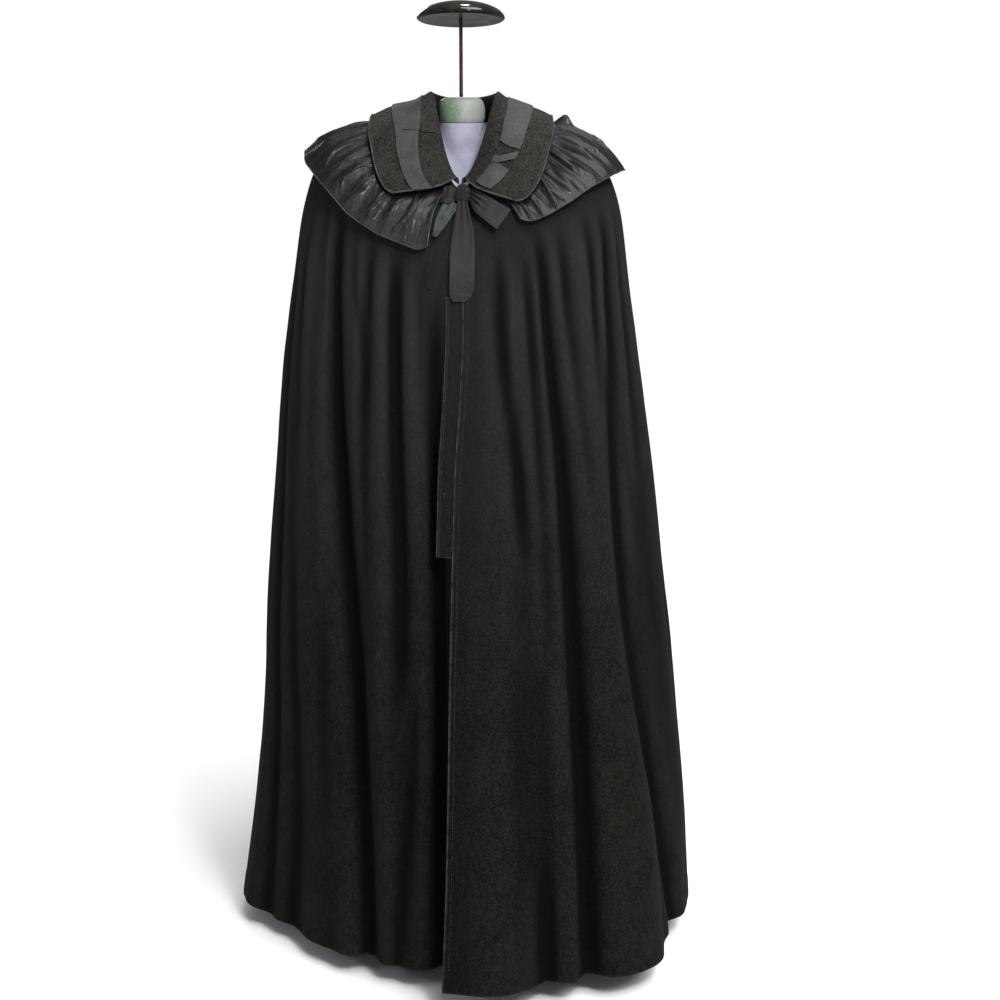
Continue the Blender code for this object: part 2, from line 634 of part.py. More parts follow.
def make_collar(material):
    rows = []
    crowding = 0.05       # draws the columns together at the corners and the centre back
    for number, (share, rise) in enumerate(COLLAR_ROWS):
        first, last = collar_ends(share * COLLAR_FRONT_REACH)
        row = []
        for c in range(COLLAR_COLUMN_COUNT + 1):
            part = c / COLLAR_COLUMN_COUNT
            part -= crowding * math.sin(4 * math.pi * part)
            angle = blend(first, last, part)
            from_end = min(part, 1 - part) * (last - first)
            corner = max(0.0, 1 - from_end / CORNER_DEGREES) ** 2
            reach = share * (collar_edge(angle) - corner * COLLAR_CORNER * ease(0.6, 1.0, share))
            row.append(collar_point(angle, reach, rise if number < FOOT_ROWS else None))
        rows.append(row)
    return make_wall("collar", rows, COLLAR_WOOL, material)


def band_inner(angle, side):
    """Reach of a ribbon band's inner edge."""
    inner = BAND_INNER_LEFT if side == "left" else BAND_INNER_RIGHT
    return curve_through(BAND_ANGLES, inner, abs(wrapped(angle)))


def make_band(band, material):
    """Ribbon band on a collar leaf, ending in a slant near the throat."""
    rows = []
    for c in range(BAND_ACROSS + 1):
        across = c / BAND_ACROSS
        end = blend(band["end_inner"], band["end_outer"], across)
        row = []
        for s in range(BAND_SECTIONS + 1):
            angle = blend(band["start"], end, s / BAND_SECTIONS)
            reach = band_inner(angle, band["side"]) + BAND_WIDTH * across
            row.append(collar_point(angle, reach, None, RIBBON + band["gap"]))
        if band["start"] > band["end_inner"]:
            row.reverse()
        rows.append(row)
    return make_wall(band["node"], rows, RIBBON, material)


# ---------------------------------------------------------------- the flounce
def flounce_size(name, angle):
    return curve_through(FLOUNCE["angle"], FLOUNCE[name], angle)


def gather_wave(turn):
    """Height of the gathers, between -1 and 1, at a place counted in gathers from one end."""
    uneven = 0.80 + 0.20 * math.sin(1.7 * turn + 0.6)
    return uneven * math.sin(2 * math.pi * turn + 0.5 * math.sin(0.9 * turn))


def make_flounce(material):
    first, last = FLOUNCE["angle"][0], FLOUNCE["angle"][-1]
    columns = FLOUNCE_GATHERS * COLUMNS_A_GATHER
    rows = []
    for line in FLOUNCE_ACROSS:
        across = dict(zip(FLOUNCE_ACROSS_COLUMNS, line))
        row = []
        for c in range(columns + 1):
            angle = blend(first, last + FLOUNCE_END_SLANT * across["share"], c / columns)
            from_end = min(c, columns - c) / columns * (last - first)
            corner = max(0.0, 1 - from_end / FLOUNCE_CORNER_DEGREES) ** 2
            inner = flounce_size("inner", angle)
            outer = flounce_size("outer", angle) - FLOUNCE_CORNER * corner
            away = flounce_size("stand_off", angle) * across["stand"]
            near = math.exp(-((angle - BUNCH_ANGLE) / BUNCH_WIDTH) ** 2)
            away += BUNCH_HEIGHT * across["bunch"] * near
            away += FLOUNCE_WAVE * across["wave"] * gather_wave(c / COLUMNS_A_GATHER)
            row.append(cloth_point(angle, blend(inner, outer, across["share"]), "back",
                                   SATIN + FLOUNCE_SEAT + away))
        rows.append(row)
    return make_wall("ruffle", rows, SATIN, material)


# ---------------------------------------------------------------- the ribbon tie
def make_ribbon(name, path, material):
    """Flat ribbon that hangs before the fronts."""
    rows = []
    piece = "right" if name in RIBBON_ON_RIGHT else "left"
    for line in path:
        place = dict(zip(RIBBON_COLUMNS, line))
        slant = math.radians(place["slant"])
        row = []
        for c in range(RIBBON_ACROSS + 1):
            beside = place["width"] * (c / RIBBON_ACROSS - 0.5)
            row.append(front_point(place["x"] + math.cos(slant) * beside,
                                   place["height"] + math.sin(slant) * beside,
                                   place["out"], piece))
        rows.append(row)
    return make_wall(name, rows, RIBBON, material)


def make_knot(material):
    """The tie's knot: a rounded wrap of ribbon with three lobes."""
    rings = []
    centre = front_point(KNOT_X, KNOT_HEIGHT, KNOT_OUT)
    for r in range(KNOT_RINGS):
        polar = math.pi * blend(KNOT_POLE, 1 - KNOT_POLE, r / (KNOT_RINGS - 1))
        ring = []
        for c in range(KNOT_SIDES):
            a = 2 * math.pi * c / KNOT_SIDES
            dent = 1 - KNOT_DENT * math.cos(3 * a)
            ring.append(centre + Vector((
                KNOT_HALF_WIDTH * math.sin(polar) * math.cos(a) * dent,
                KNOT_HALF_DEPTH * math.sin(polar) * math.sin(a) * dent,
                KNOT_HALF_HEIGHT * math.cos(polar))))
        rings.append(ring)
    return make_loft("bow_knot", rings, material)


# ---------------------------------------------------------------- the dress form
def neck_seat(out):
    """Slanted ring where the neck block stands on the torso."""
    ring = []
    for c in range(TORSO_SIDES):
        a = 2 * math.pi * c / TORSO_SIDES
        front = math.cos(a)
        facing = "front" if front > 0 else "back"
        height = blend(NECK_SEAT["side_height"], NECK_SEAT[facing + "_height"], front * front)
        ring.append(Vector((NECK_SEAT["half_width"] * math.sin(a),
                            -NECK_SEAT["depth_" + facing] * front, height + out)))
    return ring


def make_torso(material):
    """Limbless form: its shoulders lie just under the cloak, then it narrows to the waist."""
    rings = [neck_seat(0.0)]
    for reach in TORSO_REACHES:
        ring = []
        for c in range(TORSO_SIDES):
            angle = 360.0 * c / TORSO_SIDES
            ring.append(cloth_point(angle, reach, "back", -WOOL - FORM_GAP))
        rings.append(ring)
    for line in TORSO_ROWS:
        level = dict(zip(TORSO_COLUMNS, line))
        ring = []
        for c in range(TORSO_SIDES):
            a = 2 * math.pi * c / TORSO_SIDES
            front = math.cos(a)
            depth = level["depth_front" if front > 0 else "depth_back"]
            ring.append(Vector((level["half_width"] * math.sin(a), -depth * front,
                                level["height"] - level["drop"] * front * front)))
        rings.append(ring)
    return make_loft("form_torso", rings, material, NECK_DISH)


def neck_ring(spread, middle):
    """Slanted ring of the neck block at the given middle height."""
    ring = []
    for c in range(TORSO_SIDES):
        a = 2 * math.pi * c / TORSO_SIDES
        y = -NECK_HALF_DEPTH * spread * math.cos(a)
        ring.append(Vector((NECK_HALF_WIDTH * spread * math.sin(a), y, middle + NECK_SLANT * y)))
    return ring


def make_neck(material):
    """Neck block: its foot follows the slanted top of the torso."""
    foot = neck_seat(SEAM_GAP)
    top = neck_ring(1.0, NECK_TOP)
    rings = []
    for up, inward in NECK_ROWS:
        ring = []
        for low, high in zip(foot, top):
            ring.append(Vector((blend(low.x, high.x, inward), blend(low.y, high.y, inward),
                                blend(low.z, high.z, up))))
        rings.append(ring)
    return make_loft("form_neck", rings, material, NECK_DISH)


def make_cap(material):
    rings = [neck_ring(spread, height) for spread, height in CAP_ROWS]
    return make_loft("neck_cap", rings, material)


def main():
    for old in list(bpy.data.objects):
        bpy.data.objects.remove(old)
    finish = {row[0]: make_material(*row) for row in FINISHES}

    make_front("front_right", "right", finish["wool"])
    make_front("front_left", "left", finish["wool"])
    make_back(finish["wool"])
    make_fly_strip(finish["wool"])
    make_collar(finish["collar_wool"])
    for row in BAND_ROWS:
        make_band(dict(zip(BAND_COLUMNS, row)), finish["grosgrain"])
    make_flounce(finish["satin"])

    for name, path in RIBBONS.items():
        make_ribbon(name, path, finish["ribbon"])
    make_knot(finish["ribbon"])

    make_torso(finish["form_cloth"])
    make_neck(finish["form_cloth"])
    make_cap(finish["cap_paint"])
    make_turned("neck_pin", PIN_PROFILE, finish["cap_paint"], 10, PIN_PLACE)
    rod_foot = CAP_TOP + NECK_SLANT * ROD_RADIUS + SEAM_GAP
    rod_head = DISC_RIM_HEIGHT + DISC_HOLLOW - SEAM_GAP
    rod_profile = ((ROD_RADIUS, rod_foot), (ROD_RADIUS, rod_head))
    make_turned("hat_rod", rod_profile, finish["rod_metal"], 12)
    make_turned("hat_disc", DISC_PROFILE, finish["disc_paint"], 32)
    pole_foot = BASE_THICKNESS + SEAM_GAP
    pole_head = TORSO_BOTTOM - SEAM_GAP
    pole_profile = ((POLE_RADIUS, pole_foot), (POLE_RADIUS, pole_head))
    make_turned("pole", pole_profile, finish["stand_paint"], 20)
    make_turned("base", BASE_PROFILE, finish["stand_paint"], 40)


main()
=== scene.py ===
"""Looks of a full-length black wool cloak with a wide collar, a gathered satin flounce and a
ribbon tie, on a limbless dress form.

Metres, +Z up. Angles go round the form: 0 is centre front, 90 is +X, 180 is centre back. Reach
is the distance down the cloth from the neck seam, measured over the shoulder. Grids of points
run down the cloth in their rows and round the form in their columns.
"""
import math

import bpy
import numpy as np
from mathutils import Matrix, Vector


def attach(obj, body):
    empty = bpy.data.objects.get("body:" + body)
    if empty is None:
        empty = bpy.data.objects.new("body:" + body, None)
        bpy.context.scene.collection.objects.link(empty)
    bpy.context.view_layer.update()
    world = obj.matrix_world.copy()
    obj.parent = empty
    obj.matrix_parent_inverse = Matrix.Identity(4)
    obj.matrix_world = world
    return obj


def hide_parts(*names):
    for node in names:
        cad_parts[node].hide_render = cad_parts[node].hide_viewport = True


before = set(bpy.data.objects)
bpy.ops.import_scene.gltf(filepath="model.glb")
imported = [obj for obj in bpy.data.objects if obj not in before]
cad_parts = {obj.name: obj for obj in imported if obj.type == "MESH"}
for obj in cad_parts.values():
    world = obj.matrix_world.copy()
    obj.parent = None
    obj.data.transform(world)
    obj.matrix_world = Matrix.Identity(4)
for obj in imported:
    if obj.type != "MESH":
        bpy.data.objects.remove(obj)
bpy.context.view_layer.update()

# ---------------------------------------------------------------- sizes
WOOL = 0.0020
COLLAR_WOOL = 0.0028
SATIN = 0.0012
RIBBON = 0.0010
SEAM_GAP = 0.0004
SIDE_SEAM = 0.0009
HEM_REACH = 1.560
NORMAL_STEP = 0.006
FRONT_LIFT = 0.0068
LIFT_REACHES = (0.10, 0.30)
LIFT_ANGLES = (8.0, 22.0)
STRIP_WIDTH = 0.027
STRIP_HIDDEN = 0.012
STRIP_ENDS = (0.30, 0.80)
COLLAR_SEAT = 0.0062
COLLAR_STAND = 0.0400
COLLAR_CORNER = 0.009
CORNER_DEGREES = 6.5
THROAT_ANGLE = 2.0
THROAT_STAND = 0.30
FULL_STAND_ANGLE = 62.0
BACK_STAND = 0.80
BACK_STAND_ANGLES = (100.0, 170.0)

CLOTH_COLUMNS = ("reach", "half_right", "half_left", "side_height",
                 "depth_right", "depth_left", "front_height", "depth_back", "back_height")
CLOTH_ROWS = (
    (0.000, 0.043, 0.056, 1.452, 0.084, 0.084, 1.334, 0.058, 1.458),
    (0.050, 0.104, 0.101, 1.451, 0.102, 0.102, 1.318, 0.090, 1.448),
    (0.105, 0.160, 0.152, 1.439, 0.121, 0.121, 1.296, 0.122, 1.424),
    (0.160, 0.207, 0.201, 1.415, 0.137, 0.137, 1.266, 0.144, 1.384),
    (0.220, 0.249, 0.246, 1.372, 0.150, 0.150, 1.222, 0.158, 1.332),
    (0.270, 0.266, 0.266, 1.328, 0.158, 0.158, 1.182, 0.167, 1.283),
    (0.320, 0.277, 0.277, 1.282, 0.165, 0.165, 1.140, 0.174, 1.234),
    (0.420, 0.291, 0.290, 1.182, 0.176, 0.178, 1.052, 0.184, 1.136),
    (0.570, 0.313, 0.312, 1.032, 0.192, 0.200, 0.930, 0.198, 0.992),
    (0.770, 0.333, 0.341, 0.832, 0.214, 0.234, 0.765, 0.222, 0.806),
    (0.970, 0.352, 0.364, 0.633, 0.240, 0.274, 0.596, 0.252, 0.620),
    (1.170, 0.367, 0.386, 0.433, 0.268, 0.314, 0.420, 0.284, 0.430),
    (1.340, 0.386, 0.405, 0.264, 0.289, 0.342, 0.256, 0.312, 0.262),
    (HEM_REACH, 0.420, 0.421, 0.045, 0.306, 0.362, 0.043, 0.340, 0.045),
)

# The large hanging folds: piece, angle and height at chest, hip and hem, half width in degrees,
# and the reach where each starts and ends.
FOLD_REACHES = (0.36, 0.90, HEM_REACH)
FADE_LENGTH = 0.16
FOLD_SPAN = 3.0
OWN_FOLDS = 20.0
FOLD_COLUMNS = ("piece", "chest_angle", "hip_angle", "hem_angle",
                "chest", "hip", "hem", "width", "start", "end")
FOLD_ROWS = (
    ("right", -8.5, -5.8, -4.0, -0.010, -0.020, -0.026, 2.8, 0.26, 1.80),
    ("right", -10.0, -10.5, -15.5, 0.000, -0.004, -0.012, 3.0, 0.95, 1.80),
    ("right", -22.0, -16.5, -15.0, -0.010, -0.013, 0.000, 3.0, 0.20, 1.15),
    ("right", -28.0, -23.0, -19.0, 0.009, 0.012, 0.008, 3.6, 0.22, 1.80),
    ("right", -42.0, -46.0, -50.0, 0.000, -0.014, -0.052, 19.0, 0.30, 1.80),
    ("right", -48.5, -34.5, -23.0, -0.016, -0.027, -0.034, 4.2, 0.20, 1.80),
    ("right", -62.0, -52.0, -44.0, 0.008, 0.012, 0.012, 6.0, 0.24, 1.80),
    ("right", -78.0, -72.0, -68.0, -0.006, -0.010, -0.016, 5.0, 0.34, 1.80),
    ("left", 8.0, 8.0, 8.0, 0.000, 0.006, 0.018, 7.0, 0.40, 1.80),
    ("left", 14.0, 18.8, 20.0, -0.008, -0.010, 0.000, 2.4, 0.18, 0.86),
    ("left", 24.4, 25.0, 26.5, -0.009, -0.009, 0.000, 2.2, 0.20, 1.08),
    ("left", 30.0, 31.0, 30.5, -0.013, -0.022, -0.030, 3.2, 0.18, 1.80),
    ("left", 20.0, 20.0, 20.5, 0.000, 0.000, -0.014, 2.6, 1.30, 1.80),
    ("left", 38.0, 39.0, 40.0, 0.002, 0.014, 0.044, 13.0, 0.30, 1.80),
    ("left", 45.0, 42.5, 48.0, 0.012, 0.014, 0.012, 5.0, 0.20, 1.80),
    ("left", 61.5, 47.5, 66.0, -0.012, -0.012, -0.022, 4.0, 0.24, 1.80),
    ("left", 76.0, 72.0, 78.0, 0.005, 0.006, 0.000, 6.0, 0.34, 1.80),
    ("back", 104.0, 102.0, 100.0, -0.007, -0.014, -0.020, 5.0, 0.36, 1.80),
    ("back", 122.0, 120.0, 119.0, -0.010, -0.020, -0.030, 5.0, 0.26, 1.80),
    ("back", 138.0, 136.0, 138.0, -0.006, -0.010, -0.018, 4.5, 0.30, 1.80),
    ("back", 155.0, 154.0, 156.0, -0.011, -0.022, -0.034, 5.0, 0.24, 1.80),
    ("back", 173.0, 174.0, 176.0, -0.007, -0.013, -0.020, 4.5, 0.30, 1.80),
    ("back", 192.0, 193.0, 194.0, -0.012, -0.023, -0.032, 5.0, 0.24, 1.80),
    ("back", 210.0, 212.0, 214.0, -0.006, -0.012, -0.022, 4.5, 0.32, 1.80),
    ("back", 229.0, 231.0, 234.0, -0.010, -0.021, -0.032, 5.0, 0.26, 1.80),
    ("back", 252.0, 254.0, 257.0, -0.006, -0.012, -0.018, 5.0, 0.36, 1.80),
)

# The lesser creases of the wool, a row each: piece, angle at the top and the bottom of the
# crease, height, half width in degrees, and the reach where it starts and ends.
CREASE_COLUMNS = ("piece", "top_angle", "low_angle", "height", "width", "start", "end")
CREASE_ROWS = (
    ("right", -14.5, -12.0, -0.0034, 1.3, 0.22, 0.70),
    ("right", -18.0, -14.0, 0.0030, 1.8, 0.24, 0.92),
    ("right", -25.5, -21.0, -0.0030, 1.1, 0.21, 0.62),
    ("right", -33.0, -27.0, -0.0042, 1.5, 0.20, 0.74),
    ("right", -36.5, -31.0, 0.0036, 1.9, 0.22, 0.96),
    ("right", -41.0, -30.0, -0.0036, 1.3, 0.21, 0.58),
    ("right", -53.0, -44.0, 0.0042, 2.0, 0.21, 1.10),
    ("right", -57.0, -49.0, -0.0040, 1.5, 0.20, 0.66),
    ("right", -66.0, -58.0, -0.0034, 1.7, 0.24, 0.82),
    ("right", -71.0, -66.0, 0.0028, 2.2, 0.30, 1.20),
    ("right", -84.0, -80.0, 0.0026, 2.0, 0.34, 1.30),
    ("right", -9.0, -9.5, 0.0020, 1.8, 0.70, 1.80),
    ("right", -30.0, -34.0, -0.0022, 2.4, 0.90, 1.80),
    ("right", -40.0, -37.0, 0.0020, 2.8, 0.96, 1.80),
    ("right", -58.0, -56.0, -0.0026, 3.0, 0.80, 1.80),
    ("right", -79.0, -82.0, -0.0024, 2.8, 0.90, 1.80),
    ("left", 10.5, 11.5, -0.0032, 1.2, 0.20, 0.54),
    ("left", 17.5, 15.0, 0.0036, 1.5, 0.20, 0.72),
    ("left", 21.5, 22.5, 0.0030, 1.3, 0.21, 0.66),
    ("left", 27.6, 28.2, 0.0034, 1.3, 0.20, 0.80),
    ("left", 34.0, 35.5, 0.0044, 1.7, 0.20, 0.94),
    ("left", 38.5, 37.0, -0.0034, 1.2, 0.20, 0.52),
    ("left", 50.5, 46.0, -0.0040, 1.6, 0.22, 0.74),
    ("left", 56.5, 53.0, 0.0042, 2.0, 0.22, 0.98),
    ("left", 67.0, 58.0, 0.0034, 1.8, 0.24, 0.88),
    ("left", 71.0, 66.0, -0.0036, 1.6, 0.26, 0.70),
    ("left", 83.0, 80.0, -0.0030, 2.0, 0.32, 1.10),
    ("left", 5.0, 4.0, -0.0014, 2.4, 0.90, 1.80),
    ("left", 14.0, 14.5, -0.0020, 2.4, 1.00, 1.80),
    ("left", 26.0, 25.5, 0.0024, 2.6, 0.96, 1.80),
    ("left", 36.0, 36.5, -0.0020, 2.4, 1.06, 1.80),
    ("left", 55.0, 57.0, -0.0024, 3.0, 0.86, 1.80),
    ("left", 84.0, 86.0, 0.0020, 2.8, 0.90, 1.80),
    ("back", 96.0, 95.0, 0.0032, 2.2, 0.30, 1.30),
    ("back", 110.0, 110.5, 0.0044, 2.2, 0.24, 1.80),
    ("back", 115.0, 114.0, -0.0036, 1.5, 0.22, 0.74),
    ("back", 129.0, 128.0, 0.0048, 2.2, 0.23, 1.80),
    ("back", 133.0, 131.0, -0.0034, 1.4, 0.22, 0.62),
    ("back", 144.5, 146.0, 0.0050, 2.4, 0.23, 1.80),
    ("back", 149.0, 149.5, -0.0036, 1.5, 0.21, 0.80),
    ("back", 162.0, 163.0, -0.0042, 1.6, 0.21, 0.70),
    ("back", 166.0, 166.0, 0.0046, 2.2, 0.24, 1.80),
    ("back", 180.5, 182.0, 0.0048, 2.3, 0.22, 1.80),
    ("back", 185.0, 186.0, -0.0040, 1.6, 0.21, 0.76),
    ("back", 200.0, 202.0, 0.0050, 2.4, 0.22, 1.80),
    ("back", 205.0, 206.0, -0.0036, 1.5, 0.22, 0.66),
    ("back", 219.0, 222.0, 0.0044, 2.2, 0.24, 1.80),
    ("back", 224.0, 225.0, -0.0038, 1.5, 0.21, 0.82),
    ("back", 240.0, 243.0, 0.0046, 2.4, 0.24, 1.80),
    ("back", 246.0, 247.0, -0.0034, 1.6, 0.24, 0.70),
    ("back", 264.0, 263.0, 0.0030, 2.2, 0.32, 1.40),
)

CREASE_FADES = (0.14, 0.24)
CREASE_SWAY = 0.5
# The wool's unevenness away from its seams, broad and fine: the degrees and metres of a step of
# noise, the noise's shift and seed, and the height.
UNEVEN_COLUMNS = ("degrees", "length", "shift", "seed", "height")
UNEVEN_ROWS = ((7.0, 0.22, 40, 3, 0.0018), (2.6, 0.050, 90, 5, 0.0005))
UNEVEN_REACHES = (0.20, 0.45)
SIDE_CALM = (0.0, 7.0)
FRONT_CALM = (3.0, 9.0)

# The angles of the fronts' edges, by reach.
EDGE_REACHES = (0.00, 0.16, 0.34, 0.49, 0.65, 0.96, 1.35, HEM_REACH)
LEFT_EDGE = (0.6, 0.6, 1.2, 0.2, -1.3, -2.2, -2.9, -3.7)
RIGHT_EDGE = (-0.6, -0.6, 2.6, 3.0, 3.0, 2.5, 2.0, 1.5)
# The fold, by its row above, that a front's columns follow, and the share of them beside it.
MAIN_FOLDS = {"right": 5, "left": 11}
MAIN_FOLD_SHARE = {"right": 0.50, "left": 0.37}

COLLAR_COLUMNS = ("share", "rise")
COLLAR_ROWS = (
    (0.000, 0.00),
    (0.000, 0.50),
    (0.020, 0.88),
    (0.075, 1.00),
    (0.145, 0.90),
    (0.300, 0.66),
    (0.520, 0.52),
    (0.760, 0.40),
    (1.000, 0.28),
)
COLLAR_RIGHT_CORNER = -33.0
COLLAR_LEFT_CORNER = 28.5
COLLAR_FRONT_REACH = 0.156
COLLAR_ANGLES = (0.0, 30.0, 60.0, 90.0, 180.0)
COLLAR_RIGHT_REACHES = (COLLAR_FRONT_REACH, 0.157, 0.116, 0.090, 0.098)
COLLAR_LEFT_REACHES = (COLLAR_FRONT_REACH, 0.160, 0.125, 0.102, 0.098)

BAND_ANGLES = (16.0, 30.0, 45.0, 60.0, 90.0, 180.0)
BAND_INNER = {"right": (0.086, 0.072, 0.048, 0.028, 0.018, 0.020),
              "left": (0.050, 0.052, 0.046, 0.036, 0.026, 0.020)}
BAND_WIDTH = 0.041
BAND_COLUMNS = ("node", "side", "start", "end_inner", "end_outer", "gap")
BAND_ROWS = (
    ("ribbon_right", "right", 180.2, 340.0, 333.0, 0.0011),
    ("ribbon_left", "left", 179.8, 46.0, 48.0, 0.0011),
    ("ribbon_left_end", "left", 36.0, 17.0, 22.0, 0.0007),
)

FLOUNCE_COLUMNS = ("angle", "inner", "outer", "stand_off")
FLOUNCE_ROWS = (
    (26.0, 0.120, 0.194, 0.010),
    (38.0, 0.122, 0.206, 0.013),
    (60.0, 0.102, 0.225, 0.020),
    (90.0, 0.082, 0.240, 0.026),
    (135.0, 0.080, 0.222, 0.028),
    (180.0, 0.078, 0.218, 0.026),
    (225.0, 0.078, 0.216, 0.030),
    (270.0, 0.074, 0.208, 0.029),
    (300.0, 0.092, 0.223, 0.024),
    (325.0, 0.116, 0.231, 0.015),
    (345.5, 0.040, 0.221, 0.009),
)
FLOUNCE_ACROSS_COLUMNS = ("share", "stand", "wave", "bunch")
FLOUNCE_ACROSS = (
    (0.00, 0.00, 0.16, 0.0),
    (0.14, 0.10, 0.26, 0.1),
    (0.25, 0.21, 0.52, 1.0),
    (0.38, 0.34, 0.80, 0.2),
    (0.66, 0.66, 1.00, 0.0),
    (1.00, 1.00, 0.70, 0.0),
)
FLOUNCE_SEAT = 0.0014
FLOUNCE_END_SLANT = 2.6
FLOUNCE_CORNER = 0.012
FLOUNCE_CORNER_DEGREES = 5.0
FLOUNCE_GATHERS = 40
FLOUNCE_WAVE = 0.0055
BUNCH_ANGLE = 88.0
BUNCH_WIDTH = 4.6
BUNCH_HEIGHT = 0.022

RIBBON_COLUMNS = ("x", "height", "out", "width", "slant")
RIBBONS = {
    "bow_loop": ((-0.030, 1.318, 0.0080, 0.026, 80.0),
                 (-0.018, 1.316, 0.0110, 0.028, 84.0),
                 (-0.0080, 1.314, 0.0100, 0.021, 88.0)),
    "bow_tail_short": ((-0.0120, 1.3062, 0.0074, 0.026, 150.0),
                       (-0.026, 1.282, 0.0060, 0.022, 160.0),
                       (-0.040, 1.252, 0.0050, 0.008, 165.0)),
    "bow_ribbon": ((0.0193, 1.311, 0.0150, 0.021, 86.0),
                   (0.034, 1.300, 0.0160, 0.030, 58.0),
                   (0.050, 1.290, 0.0150, 0.035, 56.0),
                   (0.071, 1.276, 0.0170, 0.038, 54.0)),
    "bow_tail_hanging": ((0.005, 1.3031, 0.0120, 0.016, 180.0),
                         (0.005, 1.286, 0.0070, 0.024, 180.0),
                         (0.006, 1.262, 0.0030, 0.034, 180.0),
                         (0.005, 1.220, 0.0009, 0.040, 180.0),
                         (0.004, 1.174, 0.0009, 0.040, 180.0),
                         (0.002, 1.158, 0.0009, 0.034, 180.0),
                         (0.000, 1.149, 0.0009, 0.020, 180.0)),
    "bow_tail_side": ((-0.048, 1.222, 0.0008, 0.006, 180.0),
                      (-0.050, 1.195, 0.0008, 0.014, 180.0),
                      (-0.050, 1.170, 0.0008, 0.010, 180.0)),
}
RIBBON_ON_RIGHT = ("bow_tail_side",)
KNOT_X = 0.006
KNOT_HEIGHT = 1.312
KNOT_OUT = 0.0150
KNOT_HALF_WIDTH = 0.0130
KNOT_HALF_DEPTH = 0.0075
KNOT_HALF_HEIGHT = 0.0170

NECK_TOP = 1.4470
NECK_HALF_WIDTH = 0.0400
NECK_HALF_DEPTH = 0.0450
NECK_SLANT = 0.120
CAP_TOP = 1.4885
NECK_SEAT = {"half_width": 0.0440, "depth_front": 0.0765, "depth_back": 0.0500,
             "side_height": 1.4440, "front_height": 1.3265, "back_height": 1.4440}


# ---------------------------------------------------------------- curves and the cloth's form
def table_column(columns, rows, name):
    index = columns.index(name)
    return [row[index] for row in rows]


def curve_through(positions, values, at):
    """Smooth curve through a table, which does not swing past its values."""
    positions = np.asarray(positions, float)
    values = np.asarray(values, float)
    at = np.clip(np.asarray(at, float), positions[0], positions[-1])
    spans = np.diff(positions)
    rises = np.diff(values) / spans
    product = rises[:-1] * rises[1:]
    total = np.where(product > 0, rises[:-1] + rises[1:], 1.0)
    slopes = np.concatenate([rises[:1], np.where(product > 0, 2 * product / total, 0.0),
                             rises[-1:]])
    place = np.clip(np.searchsorted(positions, at, side="right") - 1, 0, len(spans) - 1)
    t = (at - positions[place]) / spans[place]
    start = (1 + 2 * t) * (1 - t) ** 2 * values[place]
    end = t * t * (3 - 2 * t) * values[place + 1]
    start_slope = t * (1 - t) ** 2 * slopes[place]
    end_slope = -t * t * (1 - t) * slopes[place + 1]
    return start + end + spans[place] * (start_slope + end_slope)


def ease(low, high, at):
    t = np.clip((at - low) / (high - low), 0.0, 1.0)
    return t * t * (3 - 2 * t)


def blend(first, second, share):
    return first + (second - first) * share


def wrapped(angle):
    return (angle + 180.0) % 360.0 - 180.0


def soft_noise(along, across, seed):
    """Smooth noise between -1 and 1 over two lengths counted in steps."""
    size = 64
    grid = np.random.default_rng(seed).uniform(-1, 1, (size, size))
    low_along, low_across = np.floor(along).astype(int), np.floor(across).astype(int)
    s = along - low_along
    t = across - low_across
    s = s * s * (3 - 2 * s)
    t = t * t * (3 - 2 * t)

    def at(i, j):
        return grid[(low_along + i) % size, (low_across + j) % size]

    return blend(blend(at(0, 0), at(1, 0), s), blend(at(0, 1), at(1, 1), s), t)


CLOTH = {name: table_column(CLOTH_COLUMNS, CLOTH_ROWS, name) for name in CLOTH_COLUMNS}
FLOUNCE = {name: table_column(FLOUNCE_COLUMNS, FLOUNCE_ROWS, name) for name in FLOUNCE_COLUMNS}
ACROSS = {name: table_column(FLOUNCE_ACROSS_COLUMNS, FLOUNCE_ACROSS, name)
          for name in FLOUNCE_ACROSS_COLUMNS}
LEAF_SHARES = table_column(COLLAR_COLUMNS, COLLAR_ROWS[1:], "share")
LEAF_RISES = table_column(COLLAR_COLUMNS, COLLAR_ROWS[1:], "rise")


def section(name, reach):
    return curve_through(CLOTH["reach"], CLOTH[name], reach)


def unit(vectors):
    return vectors / np.maximum(np.linalg.norm(vectors, axis=-1, keepdims=True), 1e-12)


def smooth_cloth(angle, reach, piece):
    angle, reach = np.broadcast_arrays(np.asarray(angle, float), np.asarray(reach, float))
    side = np.sin(np.radians(angle))
    front = np.cos(np.radians(angle))
    half = np.where(side > 0, section("half_left", reach), section("half_right", reach))
    over = (side > 0) if piece == "back" else np.full(side.shape, piece == "left")
    depth_front = np.where(over, section("depth_left", reach), section("depth_right", reach))
    depth = np.where(front > 0, depth_front, section("depth_back", reach))
    height = np.where(front > 0, section("front_height", reach), section("back_height", reach))
    height = blend(section("side_height", reach), height, front * front)
    return np.stack([half * side, -depth * front, height], -1)


def cloth_normal(angle, reach, piece):
    """Direction away from the form, square to the smooth cloth."""
    low = np.maximum(0.0, reach - NORMAL_STEP)
    high = np.minimum(HEM_REACH, reach + NORMAL_STEP)
    down = smooth_cloth(angle, high, piece) - smooth_cloth(angle, low, piece)
    round_ = smooth_cloth(angle + 1.0, reach, piece) - smooth_cloth(angle - 1.0, reach, piece)
    return unit(np.cross(down, round_))


def fold_angle(row, reach):
    fold = dict(zip(FOLD_COLUMNS, row))
    angles = [fold["chest_angle"], fold["hip_angle"], fold["hem_angle"]]
    return curve_through(FOLD_REACHES, angles, reach)


